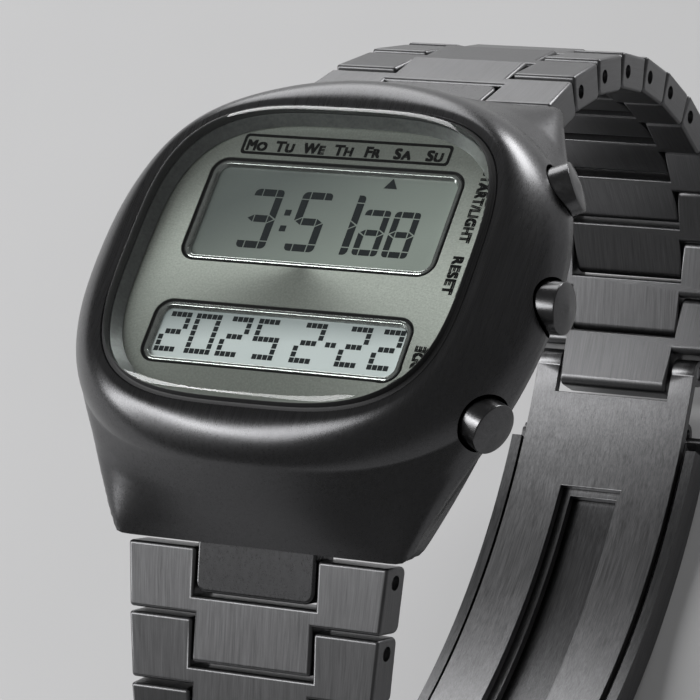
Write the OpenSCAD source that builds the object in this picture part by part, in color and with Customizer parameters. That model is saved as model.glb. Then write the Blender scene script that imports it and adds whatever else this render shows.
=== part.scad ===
// Digital watch with a cushion case, three splayed pushers and a brick-pattern steel bracelet.
// Units are millimetres. The origin is the middle of the case back's outer face.
// +Z runs out through the dial, +Y points to 12 o'clock and +X to the pushers.

/* [Case] */
// Half the width of the case at its widest, 3 o'clock side
case_half_width = 17.8; // [16:0.1:22]
// Level at which the sides of the case are widest
widest_level = 5.2; // [4:0.1:6]
// Distance from the middle of the case to the end of a lug
lug_end = 18.45; // [17:0.05:22]
// Level of the flat ledge round the crystal
ledge_level = 9.4; // [8.5:0.1:12]
// Level of the dial's face
dial_level = 8.0; // [7:0.1:9]
// How square the cushion outline is at its widest, 2 is an ellipse
cushion_power = 2.45; // [2.2:0.05:4]
// The same where the shoulder meets the ledge
ledge_power = 3.35; // [2.6:0.05:5]

/* [Crystal] */
// Half the width of the crystal's seat
seat_half_width = 13.5; // [12:0.1:15]
// Half the height of the crystal's seat
seat_half_height = 12.1; // [11:0.1:14]
// Wall of the crystal's gasket
gasket_wall = 0.35; // [0.2:0.05:0.6]
// Width of the polished bevel on the crystal
crystal_bevel = 1.4; // [0.4:0.1:2]

/* [Windows] */
// Dial and seat left over beside the upper window
time_side_margin = 3.55; // [3.2:0.05:5]
// The same above the upper window
time_top_margin = 3.9; // [3.4:0.05:5]
// Lower edge of the upper window
time_bottom = -0.36; // [-1:0.02:1]
// Dial and seat left over beside the lower window
date_side_margin = 3.45; // [3.2:0.05:5]
// The same below the lower window
date_bottom_margin = 3.48; // [3.2:0.02:5]
// Upper edge of the lower window
date_top = -3.52; // [-4:0.02:-2]
// Black groove round a window's frame
window_groove = 0.24; // [0.1:0.02:0.4]
// Width of a window frame's rim
frame_rim = 0.4; // [0.3:0.05:0.8]
// Corner radius of a window
window_corner = 1.3; // [0.9:0.1:2]
// Depth of the displays' glass below the dial's face
display_depth = 0.44; // [0.4:0.02:0.8]

/* [Pushers] */
// Level of the pushers' axes
pusher_level = 5.0; // [4.6:0.1:6]
// Cap radius
cap_radius = 1.8; // [1.4:0.1:2.2]
// Angle between the upper pusher's axis and 3 o'clock
pusher_splay = 26; // [0:1:35]
// Travel of a pusher
pusher_travel = 0.7; // [0.4:0.1:0.8]
// Radius of a pusher's stem
stem_radius = 0.6; // [0.5:0.05:0.8]
// Radius of the wire of a pusher's spring
spring_wire = 0.11; // [0.08:0.01:0.14]
// Room for a pusher's spring
spring_room = 1.5; // [1.3:0.1:1.8]
// Length of the sleeve that guides a pusher's stem
guide_length = 2.0; // [1.8:0.1:2.6]

/* [Bracelet] */
// Half the width of the first link at the case
link_half_width = 10.0; // [9:0.1:12]
// Half the width that the taper ends at
end_half_width = 8.0; // [7:0.1:10]
// Taper of one link on each side
link_taper = 0.36; // [0:0.02:0.5]
// Distance from pin to pin
link_pitch = 4.8; // [4.4:0.1:6]
// Thickness of a link
link_thickness = 2.7; // [2.2:0.1:3.2]
// Half the width of a link's middle tab
tab_half_width = 4.6; // [4:0.1:5.4]
// Polished bevel on a link's edges
link_bevel = 0.35; // [0.1:0.05:0.5]
// Rounding of the lower edges at the ends of a link's wings
wing_round = 0.55; // [0.2:0.05:0.6]
// Corner radius of the case's tabs, seen from above
tab_corner = 0.8; // [0.3:0.1:1.5]
// Pin radius
pin_radius = 0.5; // [0.4:0.05:0.6]

/* [Clasp] */
// Radius that the clasp is curved to
clasp_radius = 50; // [40:1:70]
// Half the width of the cover
cover_half_width = 8.0; // [7.5:0.1:10]
// Sheet thickness of the two blades
blade_sheet = 0.7; // [0.5:0.05:0.8]

/* [Fits] */
// Radial clearance of a turning or sliding fit
run_clearance = 0.06; // [0.02:0.01:0.1]
// Gap between pieces that lie side by side
side_gap = 0.15; // [0.1:0.01:0.3]
// Gap at the ends of links, which lets the bracelet bend
bend_gap = 0.25; // [0.2:0.01:0.4]
// Gap round a piece that is pressed or laid into its seat
seat_gap = 0.02; // [0.01:0.01:0.05]

/* [Hidden] */

half_link = link_thickness / 2;
time_half_width = seat_half_width - time_side_margin;
time_top = seat_half_height - time_top_margin;
date_half_width = seat_half_width - date_side_margin;
date_bottom = date_bottom_margin - seat_half_height;
// A coin cell of the common size 2016
battery_radius = 10;
battery_height = 1.6;
back_half_width = seat_half_width + 0.3;
back_half_height = seat_half_height + 2.2;
back_thickness = 0.9;
back_power = 3;
seat_level = ledge_level - 0.5;
cavity_half_width = seat_half_width - 0.6;
cavity_half_height = seat_half_height - 0.6;
dial_thickness = display_depth - 2 * seat_gap;
// The movement's frame, the pocket in it and the parts in that pocket
frame_half_width = cavity_half_width - 0.35;
frame_half_height = cavity_half_height - 0.35;
glass_half = date_half_width - 0.3;
front_glass = 0.53;
rear_glass = 0.55;
pocket_half = glass_half + 0.25;
pocket_top = time_top + 0.2;
pocket_bottom = date_bottom + 0.07;
board_level = 3.88;
board_top = board_level + 0.8;
// The first pin of each bracelet half, as distance towards 12 or 6 o'clock and level
first_pin = [lug_end + 0.4, -0.6];
// Turn of each link against the one before it, in degrees, as the bracelet lies round a wrist
turns_12 = [33.5, 8.5, 8.5, 9.5, 9, 9, 11, 18, 19, 19, 18];
turns_6 = [33.5, 2.5, 6, 11, 15, 17, 18, 18, 17, 15, 12];

function heading(turns, k) = k == 0 ? turns[0] : heading(turns, k - 1) + turns[k];
function pin_at(turns, k) = k == 0 ? first_pin
  : pin_at(turns, k - 1) + link_pitch * [cos(heading(turns, k - 1)), -sin(heading(turns, k - 1))];
function width_at(k) = max(end_half_width, link_half_width - link_taper * k);

// Outlines
// Distance from the middle to a cushion outline, seen at angle t
function cushion(t, a, b, n) = pow(pow(abs(cos(t)) / a, n) + pow(abs(sin(t)) / b, n), -1 / n);
// Outline of a barrel with tapering sides, cut straight at the reach, crisp sets how sharp its corners are
function barrel(t, a, reach, crisp) =
  let (side = cushion(t, a, lug_end * 1.85, 1.55), cap = reach / max(abs(sin(t)), 0.001))
  pow(pow(side, -crisp) + pow(cap, -crisp), -1 / crisp);
function smooth_step(u) = let (v = min(1, max(0, u))) v * v * (3 - 2 * v);
// 0 at 3 and 9 o'clock, 1 over the lugs
function lug_share(t) = smooth_step((asin(min(1, abs(sin(t)))) - 19.4) / 70.8);
function cushion_points(a, b, n, count) =
  [for (i = [0:count - 1]) let (t = 360 * i / count) cushion(t, a, b, n) * [cos(t), sin(t)]];

// Skin over a stack of rings with the same number of points, lowest ring first
module skin(rings) {
  count = len(rings[0]);
  last = len(rings) - 1;
  sides = [for (j = [0:last - 1], i = [0:count - 1])
    each [[j * count + i, (j + 1) * count + i, (j + 1) * count + (i + 1) % count],
      [j * count + i, (j + 1) * count + (i + 1) % count, j * count + (i + 1) % count]]];
  foot = [[for (i = [0:count - 1]) i]];
  lid = [[for (i = [count - 1:-1:0]) last * count + i]];
  polyhedron(points = [for (ring = rings) each ring], faces = concat(foot, sides, lid));
}

// Upright prism with a cushion outline
module cushion_prism(a, b, n, low, high, count = 48) {
  translate([0, 0, low])
    linear_extrude(height = high - low)
      polygon(cushion_points(a, b, n, count));
}

// Flat plate with round corners
module round_plate(x0, x1, y0, y1, r, low, high) {
  translate([0, 0, low])
    linear_extrude(height = high - low) {
      translate([x0 + r, y0])
        square([x1 - x0 - 2 * r, y1 - y0]);
      translate([x0, y0 + r])
        square([x1 - x0, y1 - y0 - 2 * r]);
      for (x = [x0 + r, x1 - r], y = [y0 + r, y1 - r])
        translate([x, y])
          circle(r = r, $fn = 32);
    }
}

// Extrudes a profile drawn in the Y and Z plane along X
module across(x0, x1) {
  translate([x0, 0, 0])
    rotate([90, 0, 90])
      linear_extrude(height = x1 - x0)
        children();
}

module pin_across(half, r) {
  translate([-half, 0, 0])
    rotate([0, 90, 0])
      cylinder(r = r, h = 2 * half, $fn = 24);
}

// Case
case_points = 96;
// Side and end stations of the case: how far inside its greatest reach, and at what level
side_stations = [[3.3, 0], [3, 0.55], [2.45, 1.25], [1.75, 1.95], [0.95, 2.75], [0.4, 3.6],
  [0.07, 4.45], [0, widest_level]];
end_stations = [[2.9, 0], [1.48, -0.92], [0, 1.34], [0.6, 2.6], [1.2, 3.9], [1.8, 5.2], [2.4, 6.5],
  [2.9, 7.6]];
// How sharp the lug corners are at each station, and how far the outline has become a cushion
corner_crisp = [70, 70, 70, 22, 12, 8, 6.5, 5.5];
cushion_share = [0, 0, 0, 0.08, 0.28, 0.52, 0.75, 0.95];
ledge_half_width = seat_half_width + 0.53;
ledge_half_height = seat_half_height + 0.48;

// Ring of the flank, from the underside up to where the shoulder starts
function flank_radius(j, t) =
  let (side = case_half_width - side_stations[j][0],
    end = lug_end - end_stations[j][0],
    firm = barrel(t, side, end, corner_crisp[j]),
    soft = cushion(t, side, end, cushion_power))
  firm * (1 - cushion_share[j]) + soft * cushion_share[j];
function flank_ring(j) =
  [for (i = [0:case_points - 1])
    let (t = 360 * i / case_points,
      share = lug_share(t),
      r = flank_radius(j, t),
      z = side_stations[j][1] * (1 - share) + end_stations[j][1] * share)
    [r * cos(t), r * sin(t), z]];
// Ring of the rounded shoulder, q runs from 0 at the flank to 1 at the ledge
function shoulder_ring(q) =
  let (side_turn = 90 * (1 - q),
    end_turn = 68 * (1 - q),
    side_z = widest_level + (ledge_level - widest_level) * pow(cos(side_turn), 1.33),
    end_z = ledge_level - (ledge_level - end_stations[7][1]) * (1 - cos(end_turn)) / (1 - cos(68)))
  [for (i = [0:case_points - 1])
    let (t = 360 * i / case_points,
      share = lug_share(t),
      foot = flank_radius(7, t),
      top = cushion(t, ledge_half_width, ledge_half_height, ledge_power),
      grow = pow(sin(side_turn), 1.33) * (1 - share) + sin(end_turn) / sin(68) * share,
      r = top + (foot - top) * grow,
      z = side_z * (1 - share) + end_z * share)
    [r * cos(t), r * sin(t), z]];

// Places a child that is drawn along the axis of pusher i, with Z pointing out of the case
pusher_spots = [[case_half_width - 1.1, 9.75, pusher_splay], [case_half_width + 1.05, 0, 0],
  [case_half_width - 1.1, -9.75, -pusher_splay]];
module on_pusher(i) {
  translate([pusher_spots[i][0], pusher_spots[i][1], pusher_level])
    rotate([0, 0, pusher_spots[i][2]])
      rotate([0, 90, 0])
        children();
}

// Heights along a pusher's axis, counted from its end face
cap_foot = -2.4;
recess_floor = cap_foot - spring_room;
guide_foot = recess_floor - guide_length;
clip_level = guide_foot - 0.3;
stem_end = clip_level - 0.35;
guide_radius = stem_radius + run_clearance + 0.64;
seal_wire = 0.29;

screw_spots = [for (way = [[1, 1], [-1, 1], [-1, -1], [1, -1]])
  [way[0] * 5, way[1] * (back_half_height - 1.4)]];
seal_half_width = seat_half_width + 0.08;
seal_half_height = seat_half_height + 0.28;
seal_width = 0.5;
seal_depth = 0.45;

module case_body() {
  color([0.30, 0.30, 0.31])
    difference() {
      union() {
        skin(concat([for (j = [0:7]) flank_ring(j)], [for (q = [1:6]) shoulder_ring(q / 6)]));
        for (way = [0, 1])
          mirror([0, way, 0])
            on_link(turns_12, 0)
              translate([0, -link_pitch, 0])
                case_tab();
      }
      // seat of the crystal, opening over the dial and the hollow for the movement
      cushion_prism(seat_half_width + seat_gap, seat_half_height + seat_gap, 3.4, seat_level, 12, 72);
      cushion_prism(seat_half_width - 0.95, seat_half_height - 0.95, 3.4, dial_level - 0.1, 12, 72);
      cushion_prism(cavity_half_width, cavity_half_height, 3.3, back_thickness - 0.1, dial_level + 0.02);
      // step for the case back, groove for its seal
      cushion_prism(back_half_width + 0.05, back_half_height + 0.05, back_power, -3, back_thickness);
      cushion_prism(seal_half_width + 0.04, seal_half_height + 0.04, 3.3, back_thickness - 0.1,
        back_thickness + seal_depth);
      for (p = screw_spots)
        translate([p[0], p[1], 0.5])
          cylinder(r = 0.42, h = 2.9, $fn = 24);
      for (i = [0:2])
        on_pusher(i) {
          translate([0, 0, recess_floor])
            cylinder(r = cap_radius + 0.25, h = 9, $fn = 40);
          translate([0, 0, -9])
            cylinder(r = guide_radius + seat_gap, h = 9, $fn = 32);
        }
      for (way = [-1, 1])
        translate([0, way * first_pin[0], first_pin[1]])
          pin_across(tab_half_width + 1, pin_radius + run_clearance);
    }
}

module crystal() {
  a = seat_half_width - gasket_wall - 0.02;
  b = seat_half_height - gasket_wall - 0.02;
  top = ledge_level + 0.95;
  color([0.85, 0.88, 0.88, 0.35])
    skin([for (s = [[0, seat_level], [0, ledge_level + 0.3], [crystal_bevel, top - 0.12],
      [crystal_bevel + 0.5, top - 0.02], [crystal_bevel + 1.6, top]])
      [for (p = cushion_points(a - s[0], b - s[0], 3.4, 72)) [p[0], p[1], s[1]]]]);
}

module crystal_gasket() {
  color([0.04, 0.04, 0.04])
    difference() {
      cushion_prism(seat_half_width, seat_half_height, 3.4, seat_level, ledge_level - 0.05, 72);
      cushion_prism(seat_half_width - gasket_wall, seat_half_height - gasket_wall, 3.4,
        seat_level - 1, ledge_level + 1, 72);
    }
}

// Dial, displays and movement
module window_cut(half, low, high, inset) {
  round_plate(-half + inset, half - inset, low + inset, high - inset, window_corner - inset * 0.6,
    dial_level - 3, dial_level + 1);
}

module dial_plate() {
  color([0.62, 0.62, 0.58])
    difference() {
      cushion_prism(cavity_half_width - 0.1, cavity_half_height - 0.1, 3.3,
        dial_level - dial_thickness, dial_level - seat_gap);
      window_cut(time_half_width, time_bottom, time_top, 0);
      window_cut(date_half_width, date_bottom, date_top, 0);
    }
}

// Polished frame that lines a window of the dial
module window_frame(half, low, high) {
  gap = window_groove;
  inner = window_groove + frame_rim;
  difference() {
    round_plate(-half + gap, half - gap, low + gap, high - gap, window_corner - gap,
      dial_level - display_depth + seat_gap, dial_level - 0.08);
    round_plate(-half + inner, half - inner, low + inner, high - inner, window_corner - inner,
      dial_level - 2, dial_level + 2);
  }
}

module time_frame() {
  color([0.78, 0.78, 0.76])
    window_frame(time_half_width, time_bottom, time_top);
}

module date_frame() {
  color([0.78, 0.78, 0.76])
    window_frame(date_half_width, date_bottom, date_top);
}

// Two glass plates of a liquid crystal cell, the rear one shorter where its contacts are
module display_cell(low, high, contact_low, contact_high) {
  glass_top = dial_level - display_depth;
  translate([-glass_half, low, glass_top - front_glass])
    cube([2 * glass_half, high - low, front_glass]);
  translate([-glass_half, low + contact_low, glass_top - front_glass - rear_glass])
    cube([2 * glass_half, high - low - contact_low - contact_high, rear_glass + 0.01]);
}

module time_display() {
  color([0.60, 0.63, 0.57])
    display_cell(time_bottom - 0.25, time_top + 0.15, 0, 0.9);
}

module date_display() {
  color([0.70, 0.75, 0.75])
    display_cell(date_bottom + 0.25, date_top + 0.35, 0.9, 0);
}

// The light guide lies between the board's parts and the rear glasses
light_foot = board_top + 0.85;
light_top = dial_level - display_depth - front_glass - rear_glass - seat_gap;

module display_light() {
  color([0.85, 0.87, 0.80])
    translate([-glass_half + 0.25, date_bottom + 1.5, light_foot])
      cube([2 * glass_half - 0.5, time_top - date_bottom - 2.8, light_top - light_foot]);
}

// Rubber strips that carry the contacts from the board up to the two cells
module display_connectors() {
  color([0.75, 0.55, 0.60])
    for (y = [date_bottom + 0.35, time_top - 0.65])
      translate([-glass_half + 0.55, y, board_top + seat_gap])
        cube([2 * glass_half - 1.1, 0.7, light_top + rear_glass - board_top - seat_gap]);
}

module module_frame() {
  color([0.80, 0.80, 0.78])
    difference() {
      cushion_prism(frame_half_width, frame_half_height, 3.3, 1.45,
        dial_level - dial_thickness - seat_gap);
      round_plate(-pocket_half, pocket_half, pocket_bottom, pocket_top, 0.6, board_level - 0.03, 9);
      translate([0, 0, 0])
        cylinder(r = battery_radius + 0.1, h = 1.42 + battery_height + 0.08, $fn = 64);
      for (i = [0:2])
        on_pusher(i)
          translate([0, 0, stem_end - pusher_travel - 0.6])
            cylinder(r = guide_radius + 0.45, h = 5, $fn = 24);
      // two openings for the battery contacts
      for (x = [-5, 5])
        translate([x, 0, 2])
          cylinder(r = 0.7, h = 3, $fn = 24);
    }
}

module circuit_board() {
  color([0.10, 0.30, 0.16])
    round_plate(-pocket_half + 0.6, pocket_half - 0.6, pocket_bottom + 0.15, pocket_top - 0.15,
      0.5, board_level, board_top);
}

// Sealed chip, quartz can and two contact posts that reach down to the battery
module circuit_parts() {
  color([0.12, 0.12, 0.13]) {
    translate([-2, 0, board_top + seat_gap])
      cylinder(r = 3, h = 0.8, $fn = 40);
    translate([3.4, -3, board_top + 0.43])
      rotate([0, 90, 0])
        cylinder(r = 0.4, h = 4.6, $fn = 24);
    for (x = [-5, 5])
      translate([x, 0, 1.44 + battery_height])
        cylinder(r = 0.6, h = board_level - 1.46 - battery_height, $fn = 24);
  }
}

module battery() {
  color([0.72, 0.72, 0.72])
    union() {
      translate([0, 0, 1.42])
        cylinder(r = battery_radius, h = battery_height - 0.35, $fn = 64);
      translate([0, 0, 1.52])
        cylinder(r = battery_radius - 1.2, h = battery_height - 0.1, $fn = 64);
    }
}

// Sprung strap that holds the battery into the movement
module battery_strap() {
  color([0.75, 0.72, 0.62])
    difference() {
      round_plate(-2.2, 2.2, -frame_half_height + 0.2, frame_half_height - 0.2, 0.9, 1.2, 1.4);
      for (y = [-4, 4])
        round_plate(-0.7, 0.7, y - 2.5, y + 2.5, 0.6, 1, 2);
    }
}

module case_back() {
  color([0.42, 0.42, 0.43])
    difference() {
      cushion_prism(back_half_width, back_half_height, back_power, 0, back_thickness - seat_gap);
      for (p = screw_spots)
        translate([p[0], p[1], 0]) {
          translate([0, 0, -1])
            cylinder(r = 0.86, h = 1.6, $fn = 32);
          translate([0, 0, -1])
            cylinder(r = 0.47, h = 3, $fn = 24);
        }
    }
}

module case_back_seal() {
  color([0.05, 0.05, 0.05])
    difference() {
      cushion_prism(seal_half_width, seal_half_height, 3.3, back_thickness,
        back_thickness + seal_depth - 0.03);
      cushion_prism(seal_half_width - seal_width, seal_half_height - seal_width, 3.3, 0, 3);
    }
}

module case_back_screws() {
  color([0.60, 0.60, 0.60])
    for (p = screw_spots)
      translate([p[0], p[1], 0])
        difference() {
          union() {
            translate([0, 0, 0.12])
              cylinder(r = 0.8, h = 0.46, $fn = 32);
            translate([0, 0, 0.5])
              cylinder(r = 0.4, h = 2.6, $fn = 24);
          }
          for (turn = [0, 90])
            rotate([0, 0, turn])
              translate([-0.62, -0.13, 0])
                cube([1.24, 0.26, 0.36]);
        }
}

// Pushers
module pusher_guides() {
  color([0.55, 0.55, 0.55])
    for (i = [0:2])
      on_pusher(i)
        translate([0, 0, guide_foot])
          difference() {
            cylinder(r = guide_radius, h = guide_length, $fn = 32);
            translate([0, 0, -1])
              cylinder(r = stem_radius + run_clearance, h = 5, $fn = 24);
          }
}

module pusher_seals() {
  color([0.05, 0.05, 0.05])
    for (i = [0:2])
      on_pusher(i)
        translate([0, 0, recess_floor + seal_wire + seat_gap])
          rotate_extrude($fn = 32)
            translate([stem_radius + run_clearance + seal_wire, 0])
              circle(r = seal_wire, $fn = 16);
}

// Cap with a shallow cone in its end face, stem, and a clip that stops it from coming out
module pusher(i) {
  clip_thick = 0.22;
  on_pusher(i) {
    difference() {
      union() {
        rotate_extrude($fn = 40)
          polygon([[0, cap_foot], [cap_radius, cap_foot], [cap_radius, -0.3],
            [cap_radius - 0.3, 0], [cap_radius - 0.5, 0], [0, -0.3]]);
        translate([0, 0, stem_end])
          cylinder(r = stem_radius, h = cap_foot - stem_end + 0.1, $fn = 24);
      }
      translate([0, 0, clip_level - seat_gap])
        difference() {
          cylinder(r = stem_radius + 1, h = clip_thick + 2 * seat_gap, $fn = 24);
          translate([0, 0, -1])
            cylinder(r = stem_radius - 0.18, h = 3, $fn = 24);
        }
    }
    translate([0, 0, clip_level])
      difference() {
        cylinder(r = stem_radius + 0.55, h = clip_thick, $fn = 24);
        translate([0, 0, -1])
          cylinder(r = stem_radius - 0.16, h = 3, $fn = 24);
        translate([-0.3, 0, -1])
          cube([0.6, 3, 3]);
      }
  }
}

// Tube along a helix of n turns between the two heights of its wire's centre line
module coil(r, wire, low, high, turns) {
  steps = 12 * turns;
  sides = 6;
  points = [for (k = [0:steps], i = [0:sides - 1])
    let (a = 360 * turns * k / steps, b = 360 * i / sides)
    [(r + wire * cos(b)) * cos(a), (r + wire * cos(b)) * sin(a),
      low + (high - low) * k / steps + wire * sin(b)]];
  skin_faces = [for (k = [0:steps - 1], i = [0:sides - 1])
    let (p = k * sides + i, q = k * sides + (i + 1) % sides)
    each [[p, p + sides, q], [q, p + sides, q + sides]]];
  near_end = [[for (i = [0:sides - 1]) i]];
  far_end = [[for (i = [sides - 1:-1:0]) steps * sides + i]];
  polyhedron(points = points, faces = concat(near_end, skin_faces, far_end));
}

// Coil between the floor of the recess and the cap
module pusher_spring(i) {
  on_pusher(i)
    coil(cap_radius - 0.28, spring_wire, recess_floor + spring_wire + seat_gap,
      cap_foot - spring_wire - seat_gap, 2.5);
}

module pusher_upper() {
  color([0.34, 0.34, 0.35])
    pusher(0);
}

module pusher_middle() {
  color([0.34, 0.34, 0.35])
    pusher(1);
}

module pusher_lower() {
  color([0.34, 0.34, 0.35])
    pusher(2);
}

module spring_upper() {
  color([0.70, 0.70, 0.70])
    pusher_spring(0);
}

module spring_middle() {
  color([0.70, 0.70, 0.70])
    pusher_spring(1);
}

module spring_lower() {
  color([0.70, 0.70, 0.70])
    pusher_spring(2);
}

// Bracelet
tab_reach = 2.0;
wing_reach = 1.05;

// Side view of a bar from s0 to s1: bevelled above, rounded below with radii q0 and q1
function bar_points(s0, s1, q0, q1) = concat(
  [[s0, half_link - link_bevel], [s0 + link_bevel, half_link], [s1 - link_bevel, half_link],
    [s1, half_link - link_bevel]],
  [for (a = [0:22.5:90]) [s1 - q1 + q1 * cos(a), -half_link + q1 - q1 * sin(a)]],
  [for (a = [90:22.5:180]) [s0 + q0 + q0 * cos(a), -half_link + q0 - q0 * sin(a)]]);

// Middle tab that ends round the next pin
module tab_bar(s0) {
  difference() {
    intersection() {
      across(-tab_half_width, tab_half_width)
        polygon(bar_points(s0, link_pitch + tab_reach, 0.15, 0.8));
      translate([0, link_pitch + 5, 0])
        rotate([90, 0, 0])
          linear_extrude(height = 20)
            edge_section(tab_half_width, 0.14, true);
    }
    translate([0, link_pitch, 0])
      pin_across(tab_half_width + 1, pin_radius + run_clearance);
  }
}

// Section of a link across its length, with the bevel b on the outer edges
module edge_section(half, b, both) {
  left = both ? -half : -1;
  cut = both ? b : 0;
  polygon([[left, -half_link + cut], [left + cut, -half_link], [half - b * 0.7, -half_link],
    [half, -half_link + b * 0.7], [half, half_link - b], [half - b, half_link],
    [left + cut, half_link], [left, half_link - cut]]);
}

// Tab of the case, with round corners at its free end
module case_tab() {
  free_end = link_pitch + tab_reach;
  intersection() {
    tab_bar(-1.8);
    translate([0, 0, -half_link - 1])
      linear_extrude(height = link_thickness + 2) {
        translate([-tab_half_width, -4])
          square([2 * tab_half_width, free_end + 4 - tab_corner]);
        translate([-tab_half_width + tab_corner, -4])
          square([2 * (tab_half_width - tab_corner), free_end + 4]);
        for (x = [-tab_half_width + tab_corner, tab_half_width - tab_corner])
          translate([x, free_end - tab_corner])
            circle(r = tab_corner, $fn = 32);
      }
  }
}

// One side of a link: the wing and its half of the bar that joins it to the middle
module link_side(half, taper) {
  wing_end = link_pitch - wing_reach - bend_gap;
  intersection() {
    union() {
      across(tab_half_width + side_gap, half + 1)
        polygon(bar_points(-wing_reach, wing_end, wing_round, wing_round));
      across(-0.5, tab_half_width + side_gap + 0.1)
        polygon(bar_points(tab_reach + bend_gap, wing_end, 0.15, wing_round));
    }
    translate([half, 0, 0])
      rotate([0, 0, atan(taper / link_pitch)])
        translate([-half, 8, 0])
          rotate([90, 0, 0])
            linear_extrude(height = 12)
              edge_section(half, link_bevel, false);
  }
}

// One link with its middle tab; w0 and w1 are its half widths at its two pins
module link_body(w0, w1) {
  difference() {
    union() {
      link_side(w0, w0 - w1);
      mirror([1, 0, 0])
        link_side(w0, w0 - w1);
      tab_bar(tab_reach + bend_gap);
    }
    pin_across(w0 + 1, pin_radius + seat_gap);
  }
}

// Puts a child drawn along Y onto link k of a bracelet half
module on_link(turns, k) {
  p = pin_at(turns, k);
  translate([0, p[0], p[1]])
    rotate([-heading(turns, k), 0, 0])
      children();
}

// A link and the pin that its wings hold
module bracelet_link(turns, k) {
  color([0.36, 0.36, 0.37])
    on_link(turns, k - 1) {
      link_body(width_at(k - 1), width_at(k));
      pin_across(width_at(k - 1) - 0.4, pin_radius);
    }
}

module link_for_12(k) {
  bracelet_link(turns_12, k);
}

module link_for_6(k) {
  mirror([0, 1, 0])
    bracelet_link(turns_6, k);
}

module link_12_01() { link_for_12(1); }
module link_12_02() { link_for_12(2); }
module link_12_03() { link_for_12(3); }
module link_12_04() { link_for_12(4); }
module link_12_05() { link_for_12(5); }
module link_12_06() { link_for_12(6); }
module link_12_07() { link_for_12(7); }
module link_12_08() { link_for_12(8); }
module link_12_09() { link_for_12(9); }
module link_12_10() { link_for_12(10); }
module link_12_11() { link_for_12(11); }
module link_6_01() { link_for_6(1); }
module link_6_02() { link_for_6(2); }
module link_6_03() { link_for_6(3); }
module link_6_04() { link_for_6(4); }
module link_6_05() { link_for_6(5); }
module link_6_06() { link_for_6(6); }
module link_6_07() { link_for_6(7); }
module link_6_08() { link_for_6(8); }
module link_6_09() { link_for_6(9); }
module link_6_10() { link_for_6(10); }
module link_6_11() { link_for_6(11); }

// Clasp
// The clasp spans the last pins of the two bracelet halves
last_12 = pin_at(turns_12, 11);
last_6 = [-pin_at(turns_6, 11)[0], pin_at(turns_6, 11)[1]];
span = last_12 - last_6;
span_tilt = atan2(span[1], span[0]);
half_span = asin(norm(span) / 2 / clasp_radius);
// Angles of the two clasp hinges, seen from the centre of the clasp's curve
blade_hinge_angle = -half_span + 6.8;
cover_hinge_angle = half_span - 5.6;
blade_hinge_drop = -0.3;
cover_hinge_drop = 0.6;
knuckle = 0.95;
end_knuckle = 1.05;

// Places children at the centre of the clasp's curve; -Z then points out of the loop
module on_clasp() {
  translate([0, (last_12[0] + last_6[0]) / 2, (last_12[1] + last_6[1]) / 2])
    rotate([span_tilt, 0, 0])
      translate([0, 0, clasp_radius * cos(half_span)])
        children();
}

// Point on the clasp at angle a and height d outside the line of the pins
function clasp_point(a, d) = (clasp_radius + d) * [sin(a), -cos(a)];

// Curved strip between two heights and two angles
module strip(d0, d1, a0, a1, x0, x1) {
  far = clasp_radius * 1.6;
  across(x0, x1)
    intersection() {
      difference() {
        circle(r = clasp_radius + d1, $fn = 160);
        circle(r = clasp_radius + d0, $fn = 160);
      }
      polygon([[0, 0], far * [sin(a0), -cos(a0)], far * [sin(a1), -cos(a1)]]);
    }
}

module rod_at(a, d, r, x0, x1) {
  p = clasp_point(a, d);
  translate([x0, p[0], p[1]])
    rotate([0, 90, 0])
      cylinder(r = r, h = x1 - x0, $fn = 32);
}

blade_half = 6.8;
arm_inner = tab_half_width + 0.25;
inner_low = -1.1;
inner_high = inner_low + blade_sheet;
middle_low = inner_high + 0.2;
middle_high = middle_low + blade_sheet;
cover_low = middle_high + 0.3;
cover_high = cover_low + 0.8;

module inner_blade() {
  color([0.50, 0.50, 0.51])
    on_clasp()
      difference() {
        union() {
          strip(inner_low, inner_high, blade_hinge_angle, half_span - 0.5, -blade_half, blade_half);
          rod_at(blade_hinge_angle, blade_hinge_drop, knuckle, -2.5, 2.5);
          for (side = [0, 1])
            mirror([side, 0, 0])
              rod_at(half_span, 0, end_knuckle, arm_inner, blade_half);
        }
        // room for the last link's tab, for the other blade's knuckles and for the pins
        strip(-3, 3, half_span - 2.95, half_span + 5, -arm_inner, arm_inner);
        for (side = [0, 1])
          mirror([side, 0, 0])
            rod_at(blade_hinge_angle, blade_hinge_drop, knuckle + 0.2, 2.5, 9);
        rod_at(blade_hinge_angle, blade_hinge_drop, 0.45 + seat_gap, -9, 9);
        rod_at(half_span, 0, pin_radius + seat_gap, -9, 9);
        // lightening slot along the blade
        strip(-3, 3, blade_hinge_angle + 6, half_span - 12, -2.6, 2.6);
      }
}

module middle_blade() {
  color([0.50, 0.50, 0.51])
    on_clasp()
      difference() {
        union() {
          strip(middle_low, middle_high, blade_hinge_angle, cover_hinge_angle, -blade_half,
            blade_half);
          for (side = [0, 1])
            mirror([side, 0, 0])
              rod_at(blade_hinge_angle, blade_hinge_drop, knuckle, 2.65, 6);
          rod_at(cover_hinge_angle, cover_hinge_drop, knuckle, -2.5, 2.5);
        }
        rod_at(blade_hinge_angle, blade_hinge_drop, knuckle + 0.2, -2.65, 2.65);
        for (side = [0, 1])
          mirror([side, 0, 0])
            rod_at(cover_hinge_angle, cover_hinge_drop, knuckle + 0.2, 2.5, 9);
        rod_at(blade_hinge_angle, blade_hinge_drop, 0.45 + run_clearance, -9, 9);
        rod_at(cover_hinge_angle, cover_hinge_drop, 0.45 + seat_gap, -9, 9);
        strip(-3, 3, blade_hinge_angle + 7, cover_hinge_angle - 7, -2, 2);
      }
}

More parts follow.
